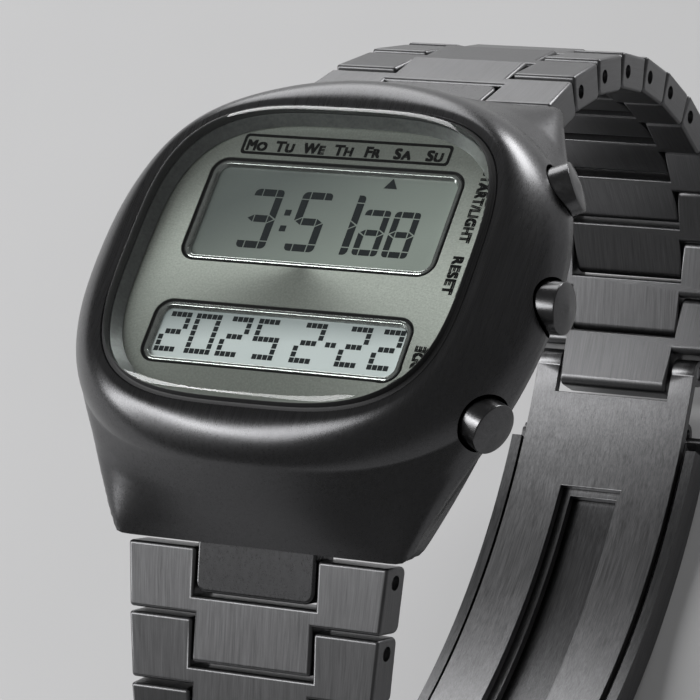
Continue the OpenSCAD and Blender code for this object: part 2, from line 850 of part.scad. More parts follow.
// Curved cover with side walls and two arms that straddle the last link of the 6 o'clock half
module clasp_cover() {
  foot = -half_span - 0.35;
  color([0.36, 0.36, 0.37])
    on_clasp()
      difference() {
        union() {
          strip(cover_low, cover_high, foot, cover_hinge_angle, -cover_half_width, cover_half_width);
          for (side = [0, 1])
            mirror([side, 0, 0]) {
              strip(inner_low + 0.3, cover_low + 0.3, -half_span + 0.5, cover_hinge_angle - 1.8,
                blade_half + 0.35, cover_half_width);
              rod_at(-half_span, 0, end_knuckle, arm_inner, cover_half_width);
              strip(-0.5, cover_low + 0.3, -half_span, -half_span + 2.2, arm_inner,
                cover_half_width);
              rod_at(cover_hinge_angle, cover_hinge_drop, knuckle, 2.65, 6.4);
            }
        }
        // slot for the link's tab, clearance for the blade's knuckle, and the holes
        strip(-3, 3, -half_span - 5, -half_span + 2.95, -arm_inner, arm_inner);
        rod_at(cover_hinge_angle, cover_hinge_drop, knuckle + 0.2, -2.65, 2.65);
        rod_at(cover_hinge_angle, cover_hinge_drop, 0.45 + run_clearance, -9, 9);
        rod_at(-half_span, 0, pin_radius + run_clearance, -9, 9);
        rod_at(-half_span + 3.6, 0.05, pin_radius, -9, -7);
        rod_at(-half_span + 3.6, 0.05, pin_radius, 7, 9);
      }
}

module blade_end_bar() {
  color([0.66, 0.66, 0.66])
    on_clasp()
      rod_at(half_span, 0, pin_radius, -blade_half + 0.15, blade_half - 0.15);
}

// Sprung bar of the 6 o'clock end, shown with its tips drawn in
module cover_end_bar() {
  color([0.66, 0.66, 0.66])
    on_clasp()
      rod_at(-half_span, 0, pin_radius, -tab_half_width + 0.05, tab_half_width - 0.05);
}

module blade_hinge_pin() {
  color([0.66, 0.66, 0.66])
    on_clasp()
      rod_at(blade_hinge_angle, blade_hinge_drop, 0.45, -5.9, 5.9);
}

module cover_hinge_pin() {
  color([0.66, 0.66, 0.66])
    on_clasp()
      rod_at(cover_hinge_angle, cover_hinge_drop, 0.45, -6.2, 6.2);
}

case_body();
crystal();
crystal_gasket();
dial_plate();
time_frame();
date_frame();
time_display();
date_display();
display_light();
display_connectors();
module_frame();
circuit_board();
circuit_parts();
battery();
battery_strap();
case_back();
case_back_seal();
case_back_screws();
pusher_guides();
pusher_seals();
pusher_upper();
pusher_middle();
pusher_lower();
spring_upper();
spring_middle();
spring_lower();
link_12_01();
link_12_02();
link_12_03();
link_12_04();
link_12_05();
link_12_06();
link_12_07();
link_12_08();
link_12_09();
link_12_10();
link_12_11();
link_6_01();
link_6_02();
link_6_03();
link_6_04();
link_6_05();
link_6_06();
link_6_07();
link_6_08();
link_6_09();
link_6_10();
link_6_11();
inner_blade();
middle_blade();
clasp_cover();
blade_end_bar();
cover_end_bar();
blade_hinge_pin();
cover_hinge_pin();
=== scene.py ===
# %% [markdown]
# # A digital watch on a steel link bracelet
# The watch is a cushion-shaped case in dark satin steel with a bevelled crystal, two recessed
# displays, three pushers and a bracelet of one-piece links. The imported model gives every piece
# its place, and this lesson gives each piece its fine shape and its finish.

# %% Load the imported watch
import math
import bpy
import bmesh
import numpy as np
from mathutils import Matrix, Vector


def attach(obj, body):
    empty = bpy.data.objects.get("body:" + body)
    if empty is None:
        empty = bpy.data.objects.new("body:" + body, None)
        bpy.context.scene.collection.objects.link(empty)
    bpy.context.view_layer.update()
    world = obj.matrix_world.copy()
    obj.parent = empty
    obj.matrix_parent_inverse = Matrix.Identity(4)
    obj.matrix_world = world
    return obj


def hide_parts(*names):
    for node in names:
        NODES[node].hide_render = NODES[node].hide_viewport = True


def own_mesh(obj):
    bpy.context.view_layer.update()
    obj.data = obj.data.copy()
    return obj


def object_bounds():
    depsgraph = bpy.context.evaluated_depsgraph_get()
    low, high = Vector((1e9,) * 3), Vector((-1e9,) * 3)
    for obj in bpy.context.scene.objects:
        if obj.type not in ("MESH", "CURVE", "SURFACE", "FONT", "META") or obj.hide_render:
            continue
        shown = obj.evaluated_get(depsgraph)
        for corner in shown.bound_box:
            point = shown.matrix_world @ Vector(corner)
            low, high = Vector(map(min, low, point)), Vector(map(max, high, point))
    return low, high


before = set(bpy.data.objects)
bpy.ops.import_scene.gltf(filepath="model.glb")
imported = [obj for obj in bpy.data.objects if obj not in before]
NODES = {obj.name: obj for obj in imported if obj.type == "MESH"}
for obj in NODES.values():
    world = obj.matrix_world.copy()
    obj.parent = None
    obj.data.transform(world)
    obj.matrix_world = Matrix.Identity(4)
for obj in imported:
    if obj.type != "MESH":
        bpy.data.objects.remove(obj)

SOLID_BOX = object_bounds()
MM = 0.001
print("pieces in the packed watch:", len(NODES))

# %% [markdown]
# Lengths below are in millimetres, as a watchmaker would write them. A mesh is turned into metres
# once, when it is made, and its object stays at the origin. Edges sharper than an angle stay
# crisp, and all others are shaded round.

# %% Mesh helpers
def into_scene(name, data):
    piece = bpy.data.objects.new(name, data)
    bpy.context.scene.collection.objects.link(piece)
    return piece


def smooth(piece, crisp):
    piece.data.shade_smooth()
    piece.data.set_sharp_from_angle(angle=math.radians(crisp))


def new_piece(name, points, faces, finish=None, crisp=32):
    mesh = bpy.data.meshes.new(name)
    mesh.from_pydata([tuple(float(c) * MM for c in p) for p in points], [], faces)
    mesh.validate()
    piece = into_scene(name, mesh)
    if finish:
        mesh.materials.append(finish)
    smooth(piece, crisp)
    return piece


def shown_mesh(piece):
    """The shape that the piece shows, as a new mesh."""
    bpy.context.view_layer.update()
    evaluated = piece.evaluated_get(bpy.context.evaluated_depsgraph_get())
    return bpy.data.meshes.new_from_object(evaluated)


def apply_steps(piece):
    """Turns the piece's modifiers into a plain mesh."""
    mesh = shown_mesh(piece)
    mesh.name = piece.name
    piece.modifiers.clear()
    piece.data = mesh
    return piece


def settle(piece, crisp=32):
    """Plain mesh, shaded round between its crisp edges."""
    apply_steps(piece)
    smooth(piece, crisp)
    return piece


def level_faces(piece):
    """Weighs the shading of every corner by face area, so that wide flat faces look flat."""
    step = piece.modifiers.new("level", "WEIGHTED_NORMAL")
    step.mode = "FACE_AREA"
    step.weight = 100
    step.keep_sharp = True
    return apply_steps(piece)


def carve(piece, tool, way="DIFFERENCE", crisp=32):
    """Cuts, joins or crosses the piece with the tool, and throws the tool away."""
    step = piece.modifiers.new("carve", "BOOLEAN")
    step.operation = way
    step.object = tool
    step.solver = "MANIFOLD"
    settle(piece, crisp)
    bpy.data.objects.remove(tool)


def edit_mesh(piece, change):
    """Opens the piece's mesh, runs the change on it and closes it."""
    work = bmesh.new()
    work.from_mesh(piece.data)
    change(work)
    work.to_mesh(piece.data)
    work.free()


def refinish(piece, finish):
    piece.data.materials.clear()
    piece.data.materials.append(finish)

# %% [markdown]
# Most pieces are one of three forms: a skin over rings, a profile turned on a lathe, or a prism
# over a flat outline. Outlines are lists of points, and arc draws their round stretches.

# %% Forms
def loft(name, rings, finish=None, loop=False, crisp=32):
    """Skin over rings of equal point count, closed by a lid at each end or by a loop."""
    count, total = len(rings[0]), len(rings)
    faces = []
    for j in range(total if loop else total - 1):
        low, high = j * count, (j + 1) % total * count
        for i in range(count):
            k = (i + 1) % count
            faces.append((low + i, low + k, high + k, high + i))
    if not loop:
        faces.append(tuple(range(count - 1, -1, -1)))
        faces.append(tuple(range((total - 1) * count, total * count)))
    return new_piece(name, np.concatenate(rings), faces, finish, crisp)


def lathe(name, profile, place, finish=None, count=48, crisp=32):
    """Turns a profile of radius and height round Z, with its poles closed, then places it."""
    points, faces, rows = [], [], []
    for radius, height in profile:
        spokes = count if radius > 0 else 1
        rows.append(list(range(len(points), len(points) + spokes)))
        for i in range(spokes):
            a = 2 * math.pi * i / count
            points.append((radius * math.cos(a), radius * math.sin(a), height))
    for low, high in zip(rows, rows[1:]):
        for i in range(count):
            k = (i + 1) % count
            if len(low) == 1:
                faces.append((low[0], high[k], high[i]))
            elif len(high) == 1:
                faces.append((low[i], low[k], high[0]))
            else:
                faces.append((low[i], low[k], high[k], high[i]))
    return new_piece(name, [place @ Vector(p) for p in points], faces, finish, crisp)


def rod(name, start, end, radius):
    start, end = Vector(start), Vector(end)
    turn = (end - start).to_track_quat("Z", "Y").to_matrix().to_4x4()
    length = (end - start).length
    return lathe(name, [(0, 0), (radius, 0), (radius, length), (0, length)],
                 Matrix.Translation(start) @ turn)


def prism(outline, low, high):
    """Points and outward faces of an upright prism over a flat outline."""
    n = len(outline)
    sides = [(i, (i + 1) % n) for i in range(n)]
    points = [(x, y, z) for z in (low, high) for x, y in outline]
    faces = [tuple(range(n - 1, -1, -1)), tuple(range(n, 2 * n))]
    faces += [(i, k, n + k, n + i) for i, k in sides]
    area = sum(outline[i][0] * outline[k][1] - outline[k][0] * outline[i][1] for i, k in sides)
    return points, [face[::-1] for face in faces] if area < 0 else faces


def slab(name, outline, low, high, place=None):
    points, faces = prism(outline, low, high)
    if place is not None:
        points = [place @ Vector(p) for p in points]
    return new_piece(name, points, faces)


def block(x0, y0, x1, y1):
    return [(x0, y0), (x1, y0), (x1, y1), (x0, y1)]


def arc(x, y, radius, start, sweep, steps):
    """Points of an arc round (x, y), from a start and over a sweep in degrees."""
    return [(x + radius * math.cos(a), y + radius * math.sin(a))
            for a in (math.radians(start + sweep * i / steps) for i in range(steps + 1))]


def round_box(x0, x1, y0, y1, r, steps=10):
    corners = ((x1 - r, y1 - r), (x0 + r, y1 - r), (x0 + r, y0 + r), (x1 - r, y0 + r))
    return [p for i, (x, y) in enumerate(corners) for p in arc(x, y, r, 90 * i, 90, steps)]

# %% [markdown]
# ## Shader groups
# Brushed steel is a field of fine scratches that all run one way. Three noises at different
# widths, two of them stretched along the brushing, give the scratches, their bundles and the slow
# changes of tone that fingers and light wear leave. The group is built once, and every metal of
# the watch feeds it with its own place and scale. Node inputs are fed by name or by number.

# %% Node helpers
def feed(node, values):
    """Links an input to a socket, or sets it to a fixed value."""
    for key, value in values.items():
        if isinstance(value, bpy.types.NodeSocket):
            node.id_data.links.new(value, node.inputs[key])
        else:
            node.inputs[key].default_value = value


def add(tree, kind, values=None, **settings):
    node = tree.nodes.new(kind)
    for key, value in settings.items():
        setattr(node, key, value)
    feed(node, values or {})
    return node


def maths(tree, operation, *values, clamp=False):
    return add(tree, "ShaderNodeMath", dict(enumerate(values)), operation=operation,
               use_clamp=clamp).outputs[0]


def weighed(tree, *parts):
    """Sum of sockets, each times its weight."""
    shares = [maths(tree, "MULTIPLY", value, weight) for value, weight in parts]
    total = shares[0]
    for share in shares[1:]:
        total = maths(tree, "ADD", total, share)
    return total


def new_group(name, family, takes, gives):
    """Group whose inputs and outputs are each a label, a kind of socket and perhaps a value."""
    tree = bpy.data.node_groups.new(name, family + "NodeTree")
    for way, items in (("INPUT", takes), ("OUTPUT", gives)):
        for label, kind, *value in items:
            item = tree.interface.new_socket(name=label, in_out=way,
                                             socket_type="NodeSocket" + kind)
            if value:
                item.default_value = value[0]
    return tree, add(tree, "NodeGroupInput").outputs, add(tree, "NodeGroupOutput")

# %% Group for brushed streaks
def streak_group():
    tree, given, leave = new_group(
        "Brushed streaks", "Shader",
        (("Place", "Vector"), ("Across", "Float", 9.0), ("Along", "Float", 0.35)),
        (("Streak", "Float"), ("Patch", "Float")))
    split = add(tree, "ShaderNodeSeparateXYZ", {0: given["Place"]}).outputs

    def noise(across, along, detail):
        wide = maths(tree, "MULTIPLY", given["Across"], across)
        long = maths(tree, "MULTIPLY", given["Along"], along)
        place = add(tree, "ShaderNodeCombineXYZ",
                    {axis: maths(tree, "MULTIPLY", split[axis], scale)
                     for axis, scale in enumerate((wide, long, wide))}).outputs[0]
        return add(tree, "ShaderNodeTexNoise", {"Vector": place, "Scale": 1.0, "Detail": detail,
                                                "Roughness": 0.62}).outputs["Fac"]

    mixed = weighed(tree, (noise(1.0, 1.0, 3.0), 0.65), (noise(0.28, 0.5, 2.0), 0.35))
    spread = add(tree, "ShaderNodeMapRange", {"Value": mixed, "From Min": 0.34, "From Max": 0.66})
    slow = add(tree, "ShaderNodeTexNoise", {"Vector": given["Place"], "Scale": 0.22, "Detail": 2.0})
    feed(leave, {"Streak": spread.outputs[0], "Patch": slow.outputs["Fac"]})
    return tree


STREAKS = streak_group()
print("group:", STREAKS.name)

# %% [markdown]
# Blasted, moulded and printed surfaces have no direction. Their group gives a fine grain, such as
# a macro photograph always shows.

# %% Group for grain
def grain_group():
    tree, given, leave = new_group("Fine grain", "Shader",
                                   (("Place", "Vector"), ("Grains per mm", "Float", 6.0)),
                                   (("Grain", "Float"),))
    grain = add(tree, "ShaderNodeTexNoise",
                {"Vector": given["Place"], "Scale": given["Grains per mm"], "Detail": 2.5,
                 "Roughness": 0.7})
    feed(leave, {"Grain": grain.outputs["Fac"]})
    return tree


GRAIN = grain_group()
print("group:", GRAIN.name)

# %% [markdown]
# Every material follows one pattern: a place in millimetres (from Object coordinates, or on the
# links from the attribute that their tree stores), one of the groups, and a Principled shader
# whose colour, roughness and bump the group drives. Constants stay on the shader itself.

# %% Material helpers
BUMP_DEPTH = 0.02


def start_material(name, attribute=None):
    finish = bpy.data.materials.new(name)
    finish.use_nodes = True
    tree = finish.node_tree
    if attribute:
        place = add(tree, "ShaderNodeAttribute", attribute_name=attribute).outputs["Vector"]
    else:
        place = add(tree, "ShaderNodeVectorMath",
                    {0: add(tree, "ShaderNodeTexCoord").outputs["Object"], "Scale": 1 / MM},
                    operation="SCALE").outputs[0]
    return finish, tree, tree.nodes["Principled BSDF"], place


def grain_of(tree, place, grains):
    return add(tree, "ShaderNodeGroup", {"Place": place, "Grains per mm": grains},
               node_tree=GRAIN).outputs["Grain"]


def blend_colour(tree, factor, dark, light):
    return add(tree, "ShaderNodeMix", {"Factor": factor, "A": (*dark, 1), "B": (*light, 1)},
               data_type="RGBA").outputs["Result"]


def spread_over(tree, factor, low, high):
    return add(tree, "ShaderNodeMapRange",
               {"Value": factor, "To Min": low, "To Max": high}).outputs[0]


def bumped(tree, height, strength):
    return add(tree, "ShaderNodeBump", {"Height": height, "Strength": strength,
                                        "Distance": BUMP_DEPTH * MM}).outputs[0]


def brushed(name, dark, light, rough, across=9.0, along=0.35, bump=0.25, attribute=None):
    finish, tree, shader, place = start_material(name, attribute)
    group = add(tree, "ShaderNodeGroup", {"Place": place, "Across": across, "Along": along},
                node_tree=STREAKS).outputs
    wear = weighed(tree, (group["Streak"], 0.5), (group["Patch"], 0.5))
    feed(shader, {"Metallic": 1.0, "Roughness": spread_over(tree, wear, *rough),
                  "Base Color": blend_colour(tree, group["Streak"], dark, light),
                  "Normal": bumped(tree, group["Streak"], bump)})
    return finish


def grained(name, dark, light, rough, grains=6.0, bump=0.2, gloss=0.5):
    finish, tree, shader, place = start_material(name)
    grain = grain_of(tree, place, grains)
    feed(shader, {"Roughness": spread_over(tree, grain, *rough), "Specular IOR Level": gloss,
                  "Base Color": blend_colour(tree, grain, dark, light),
                  "Normal": bumped(tree, grain, bump)})
    return finish

# %% [markdown]
# ## Finishes of the watch
# The case and links are steel brushed lengthwise. Their very dark base colour keeps the metal's
# gloss but only a tenth of its brightness. It is partly a dark grey tone of their own and partly a
# painted dark reflection of the dark surroundings that they mirror. The clasp's blades, the pins
# and the screws are bare steel, the seals are rubber, and the movement's parts are plastic and
# board.
# Each line gives a dark and a light tone and the least and greatest roughness.

# %% Materials
# partly painted dark reflection: these dark tones darken the steel for the dark surroundings that
# it mirrors
CASE_STEEL = brushed("case_steel", (0.070, 0.070, 0.072), (0.092, 0.092, 0.095), (0.25, 0.31),
                     across=15.0, bump=0.05)
LINK_STEEL = brushed("link_steel", (0.096, 0.096, 0.098), (0.142, 0.142, 0.146), (0.31, 0.40),
                     across=19.0, along=0.40, bump=0.16, attribute="lay")
PUSHER_STEEL = brushed("pusher_steel", (0.080, 0.080, 0.082), (0.115, 0.115, 0.118), (0.20, 0.28),
                       along=9.0, bump=0.04)
CLASP_STEEL = brushed("clasp_steel", (0.09, 0.09, 0.092), (0.15, 0.15, 0.154), (0.30, 0.42),
                      across=15.0, along=0.3, bump=0.2)
BLADE_STEEL = brushed("blade_steel", (0.14, 0.14, 0.143), (0.23, 0.23, 0.235), (0.32, 0.46),
                      across=13.0, along=0.3, bump=0.2)
BACK_STEEL = brushed("back_steel", (0.15, 0.15, 0.153), (0.24, 0.24, 0.245), (0.28, 0.42),
                     across=13.0, along=0.3, bump=0.2)
PIN_STEEL = brushed("pin_steel", (0.30, 0.30, 0.31), (0.44, 0.44, 0.45), (0.24, 0.36),
                    across=0.5, along=9.0, bump=0.1)
FRAME_STEEL = brushed("window_steel", (0.46, 0.465, 0.46), (0.58, 0.585, 0.57), (0.16, 0.26),
                      across=3.0, along=3.0, bump=0.04)
RING_STEEL = brushed("ring_steel", (0.15, 0.153, 0.153), (0.21, 0.214, 0.213), (0.40, 0.50),
                     across=4.0, along=4.0, bump=0.05)
SEAL_RUBBER = grained("seal_rubber", (0.010, 0.010, 0.011), (0.022, 0.022, 0.023), (0.45, 0.7))
BOARD = grained("board", (0.02, 0.10, 0.05), (0.03, 0.15, 0.08), (0.35, 0.5), grains=2.0)
CHIP = grained("chip", (0.012, 0.012, 0.013), (0.03, 0.03, 0.032), (0.35, 0.55), grains=8.0)
MODULE_PLASTIC = grained("module_plastic", (0.52, 0.52, 0.50), (0.60, 0.60, 0.57), (0.4, 0.6))
LIGHT_GUIDE = grained("light_guide", (0.72, 0.75, 0.68), (0.80, 0.82, 0.75), (0.15, 0.3))
CONNECTOR = grained("connector", (0.48, 0.24, 0.28), (0.58, 0.32, 0.36), (0.5, 0.7), grains=4.0)
BATTERY = brushed("battery", (0.50, 0.50, 0.50), (0.66, 0.66, 0.66), (0.22, 0.36))
STRAP = brushed("strap", (0.52, 0.48, 0.38), (0.66, 0.61, 0.48), (0.25, 0.4))
PRINT = grained("dial_print", (0.003, 0.003, 0.003), (0.006, 0.006, 0.006), (0.6, 0.8),
                grains=10.0, gloss=0.05)
SEGMENT = grained("segment", (0.006, 0.009, 0.011), (0.014, 0.018, 0.021), (0.50, 0.62),
                  grains=5.0, bump=0.05, gloss=0.2)
print("finishes:", len(bpy.data.materials))

# %% [markdown]
# The dial is metal with a sandblasted grain over a sunray brushing: fine lines that all run from
# the middle of the dial. Light then gathers in a fan along the lines that face it. The angle
# round the middle drives a noise, so the lines need no picture, and a radial tangent bends the
# highlight along them.

# %% Material of the dial
def dial_finish():
    finish, tree, shader, place = start_material("dial")
    x, y = add(tree, "ShaderNodeSeparateXYZ", {0: place}).outputs[:2]
    rays = add(tree, "ShaderNodeTexNoise",
               {"W": maths(tree, "ARCTAN2", y, x), "Scale": 150.0, "Detail": 3.0},
               noise_dimensions="1D").outputs["Fac"]
    grain = grain_of(tree, place, 7.0)
    both = weighed(tree, (rays, 0.25), (grain, 0.75))
    tangent = add(tree, "ShaderNodeTangent", direction_type="RADIAL", axis="Z")
    feed(shader, {"Metallic": 0.85, "Anisotropic": 0.6, "Tangent": tangent.outputs[0],
                  "Base Color": blend_colour(tree, both, (0.25, 0.258, 0.238),
                                             (0.70, 0.715, 0.665)),
                  "Roughness": spread_over(tree, grain, 0.34, 0.50),
                  "Normal": bumped(tree, both, 0.32)})
    return finish


DIAL = dial_finish()
print("dial:", DIAL.name)

# %% [markdown]
# A liquid crystal cell is a glass plate over a pale reflector. The upper one is grey green, the
# lower one is a paler, bluer white. A painted shade darkens each cell towards the edges that its
# window's frame shades: the upper cell towards its upper left corner, the lower cell towards its
# top. A faint drift and grain keep the cell from looking like flat paint.

# %% Materials of the displays
def cell_finish(name, dim, bright, fall, middle):
    """Cell with painted shade: its colour darkens along x and y by the two values of fall, round
    its middle.
    """
    finish, tree, shader, place = start_material(name)
    x, y = add(tree, "ShaderNodeSeparateXYZ", {0: place}).outputs[:2]
    # painted shade: the cell's colour darkens along x and y, where the frame's shadow falls
    painted_shade_slope = weighed(tree, (x, fall[0]), (maths(tree, "SUBTRACT", y, middle), fall[1]))
    tone = maths(tree, "ADD", painted_shade_slope, 0.5, clamp=True)
    drift = add(tree, "ShaderNodeTexNoise", {"Vector": place, "Scale": 0.16, "Detail": 1.0})
    grain = grain_of(tree, place, 12.0)
    both = weighed(tree, (drift.outputs["Fac"], 0.18), (grain, 0.12), (tone, 0.75))
    feed(shader, {"Base Color": blend_colour(tree, both, dim, bright),
                  "Roughness": spread_over(tree, grain, 0.30, 0.42),
                  "Coat Weight": 0.6, "Coat Roughness": 0.05})
    return finish


# painted shade: the dim colours and the falls darken the time cell towards its upper left and the
# date cell towards its top
UPPER_CELL = cell_finish("display_upper", (0.095, 0.106, 0.106), (0.36, 0.392, 0.358),
                         (0.055, -0.09), 3.8)
LOWER_CELL = cell_finish("display_lower", (0.22, 0.25, 0.26), (0.80, 0.84, 0.85),
                         (0.020, -0.40), -4.8)
print("cells:", UPPER_CELL.name, LOWER_CELL.name)

# %% [markdown]
# The crystal is glass to the eye. To the light that falls on the dial, and to the light that the
# dial sends back, it is plainly clear: otherwise the lamps would count twice under it. The Light
# Path node tells the two apart.

# %% Material of the crystal
def crystal_finish():
    finish, tree, shader, place = start_material("crystal")
    feed(shader, {"Base Color": (0.97, 0.985, 0.98, 1), "Transmission Weight": 1.0, "IOR": 1.06,
                  "Roughness": spread_over(tree, grain_of(tree, place, 0.6), 0.0, 0.03),
                  "Coat Weight": 1.0, "Coat IOR": 1.5, "Coat Roughness": 0.02})
    clear = add(tree, "ShaderNodeBsdfTransparent", {"Color": (0.95, 0.97, 0.96, 1)})
    path = add(tree, "ShaderNodeLightPath").outputs
    lit = maths(tree, "MAXIMUM", path["Is Shadow Ray"], path["Is Diffuse Ray"])
    lit = maths(tree, "MAXIMUM", lit, path["Is Glossy Ray"])
    mix = add(tree, "ShaderNodeMixShader", {0: lit, 1: shader.outputs[0], 2: clear.outputs[0]})
    feed(tree.nodes["Material Output"], {"Surface": mix.outputs[0]})
    return finish


CRYSTAL = crystal_finish()
print("crystal:", CRYSTAL.name)

# %% [markdown]
# ## The case
# The case is a cushion: its outline is a curve between an ellipse and a rectangle, and it changes
# with height. The side and the end each have a list of stations, and a smooth curve runs through
# them. Two rings of points near every edge leave a small bevel, which catches the light as the
# real polished edge does.

# %% Outline of the case
STEPS = 288
TURN = np.linspace(0, 2 * math.pi, STEPS, endpoint=False)
C, S = np.cos(TURN), np.sin(TURN)
POWER, LEDGE_POWER, SEAT_POWER, WELL_POWER = 2.45, 3.35, 3.4, 3.3
LUG_END, WIDEST, LEDGE = 18.45, 5.2, 9.4
SEAT_A, SEAT_B, LIP_A, LIP_B = 13.5, 12.1, 0.53, 0.48
SIDE_STRETCH, SIDE_POWER = 1.85, 1.55
# stations from the back to the bezel: distance from the middle, and height
SIDE = np.array([[14.5, 0], [14.8, 0.55], [15.35, 1.25], [16.05, 1.95], [16.85, 2.75], [17.4, 3.6],
                 [17.73, 4.45], [17.8, WIDEST]])
END = np.array([[15.55, 0], [16.97, -0.92], [LUG_END, 1.34], [17.85, 2.6], [17.25, 3.9],
                [16.65, 5.2], [16.05, 6.5], [15.55, 7.6]])
# at each station: how sharp the lug corners are, and how far the outline has become a cushion
BLEND = np.array([[70, 0], [70, 0], [70, 0], [22, 0.08], [12, 0.28], [8, 0.52], [6.5, 0.75],
                  [5.5, 0.95]])
LAST = len(SIDE) - 1


def cushion(a, b, n):
    return (np.abs(C / a) ** n + np.abs(S / b) ** n) ** (-1 / n)


def barrel(a, reach, crisp):
    """Tapering sides, cut straight at the reach."""
    side = cushion(a, LUG_END * SIDE_STRETCH, SIDE_POWER)
    cap = reach / np.maximum(np.abs(S), 1e-3)
    return (side ** -crisp + cap ** -crisp) ** (-1 / crisp)


def end_share(first=19.4, span=70.8):
    """0 where a point belongs to the side and 1 where it belongs to the end."""
    u = np.clip((np.degrees(np.arcsin(np.abs(S))) - first) / span, 0, 1)
    return u * u * (3 - 2 * u)


SHARE = end_share()


def through(stations, j):
    """Smooth curve through the stations; stations 0 to 2 of the end stay straight."""
    k = min(int(j), LAST - 1)
    u = j - k
    p1, p2 = stations[k], stations[k + 1]
    first = 2 if stations is END else 0
    if k < first:
        return p1 + (p2 - p1) * u
    p0 = stations[k - 1] if k > first else 2 * p1 - p2
    p3 = stations[k + 2] if k + 2 <= LAST else 2 * p2 - p1
    return 0.5 * (2 * p1 + (p2 - p0) * u + (2 * p0 - 5 * p1 + 4 * p2 - p3) * u * u
                  + (3 * p1 - p0 - 3 * p2 + p3) * u ** 3)


def ring(radius, level):
    level = np.broadcast_to(level, radius.shape)
    return np.stack([radius * C, radius * S, level], axis=1)


def flank_radius(j):
    side, end = through(SIDE, j), through(END, j)
    k = min(int(j), LAST - 1)
    crisp = math.exp(np.interp(j, (k, k + 1), np.log(BLEND[k:k + 2, 0])))
    soft = np.interp(j, (k, k + 1), BLEND[k:k + 2, 1])
    return barrel(side[0], end[0], crisp) * (1 - soft) + cushion(side[0], end[0], POWER) * soft


def flank(j):
    level = through(SIDE, j)[1] * (1 - SHARE) + through(END, j)[1] * SHARE
    return ring(flank_radius(j), level)


def shoulder(q, end_full=68, roundness=1.33):
    """Ring of the shoulder, from the last station at q = 0 to the ledge at q = 1."""
    side_turn, end_turn, full = (math.radians(a)
                                 for a in (90 * (1 - q), end_full * (1 - q), end_full))
    side_z = WIDEST + (LEDGE - WIDEST) * abs(math.cos(side_turn)) ** roundness
    end_z = LEDGE - (LEDGE - END[LAST][1]) * (1 - math.cos(end_turn)) / (1 - math.cos(full))
    top = cushion(SEAT_A + LIP_A, SEAT_B + LIP_B, LEDGE_POWER)
    grow = (math.sin(side_turn) ** roundness * (1 - SHARE)
            + math.sin(end_turn) / math.sin(full) * SHARE)
    return ring(top + (flank_radius(LAST) - top) * grow, side_z * (1 - SHARE) + end_z * SHARE)


def seat_ring(inset, level, power=SEAT_POWER):
    return ring(cushion(SEAT_A - inset, SEAT_B - inset, power), level)

# %% Skin of the case
rings = [flank(j) for j in (0.03, 0.3, 0.6, 0.9, 0.97, 1.03, 1.1, 1.35, 1.65, 1.88, 1.96, 2.03,
                            2.12, 2.3)]
rings += [flank(j) for j in np.arange(2.6, 7.0, 0.3)]
rings += [shoulder(q) for q in np.linspace(0, 1, 26)]
rings += [seat_ring(inset, level) for inset, level in (
    (-0.08, LEDGE), (-0.02, LEDGE - 0.05), (-0.02, LEDGE - 0.5), (0.36, LEDGE - 0.5), (0.95, 8.02))]
rings += [seat_ring(0.60, level, WELL_POWER) for level in (8.02, 0.0)]
case = loft("case", rings, CASE_STEEL, loop=True)
print("case skin:", len(case.data.polygons), "faces")

# %% [markdown]
# Cutters then sink the step for the back, the screw holes and the three recesses of the pushers,
# and the tabs that carry the first links are joined on. A tab is drawn along the bracelet, as the
# links are: its side view is rounded below, and its plan has round corners. The bevel rounds only
# the edges that stand out, because a fillet in an inner corner would touch the next link.

# %% Tabs and links' outlines
HALF_T, PITCH, TAB_HALF, PIN_R = 1.35, 4.8, 4.6, 0.5
TAB_ROOT, TAB_REACH, HEEL_ROUND, TAB_ROUND = -1.8, 2.0, 0.15, 0.8
EDGE_ROUND, RUN_GAP = 0.26, 0.06


def bar_view(s0, s1, q0, q1, steps=7):
    """Side view of a bar from s0 to s1, square above and rounded below by q0 and q1."""
    return ([(s0, HALF_T), (s1, HALF_T)] + arc(s1 - q1, q1 - HALF_T, q1, 0, -90, steps)
            + arc(s0 + q0, q0 - HALF_T, q0, -90, -90, steps))


def bar(name, x0, x1, view):
    """Side view in (s, n) drawn out along X; s lies along Y and n along Z."""
    lift = Matrix(((0, 0, 1, 0), (1, 0, 0, 0), (0, 1, 0, 0), (0, 0, 0, 1)))
    return slab(name, view, x0, x1, lift)


def weigh_outer_edges(work, least):
    """Marks the edges that stand out and are sharper than the least angle."""
    weight = work.edges.layers.float.new("bevel_weight_edge")
    for edge in work.edges:
        sharp = len(edge.link_faces) == 2 and edge.calc_face_angle() > least
        edge[weight] = 1.0 if sharp and edge.is_convex else 0.0


def bevel(piece, width, segments, outer_only=False):
    """Rounds sharp edges, all of them or only those that stand out."""
    least = math.radians(40)
    flat = piece.modifiers.new("planes", "DECIMATE")
    flat.decimate_type = "DISSOLVE"
    flat.angle_limit = math.radians(0.3)
    if outer_only:
        edit_mesh(settle(piece), lambda work: weigh_outer_edges(work, least))
    soft = piece.modifiers.new("bevel", "BEVEL")
    soft.width = width * MM
    soft.segments = segments
    soft.limit_method = "WEIGHT" if outer_only else "ANGLE"
    soft.angle_limit = least
    soft.use_clamp_overlap = not outer_only
    return settle(piece)


def case_tab():
    tab = bar("tab", -TAB_HALF, TAB_HALF,
              bar_view(TAB_ROOT, PITCH + TAB_REACH, HEEL_ROUND, TAB_ROUND))
    plan = round_box(-TAB_HALF, TAB_HALF, -6, PITCH + TAB_REACH, TAB_ROUND)
    carve(tab, slab("plan", plan, -3, 3), "INTERSECT")
    return bevel(tab, EDGE_ROUND, 4, outer_only=True)


def in_metres(matrix):
    place = matrix.copy()
    place.translation = place.translation * MM
    return place

# %% [markdown]
# The pushers stand at 2, 3 and 4 o'clock. Each has its own axis, and everything on it is drawn
# along Z and then laid onto that axis.

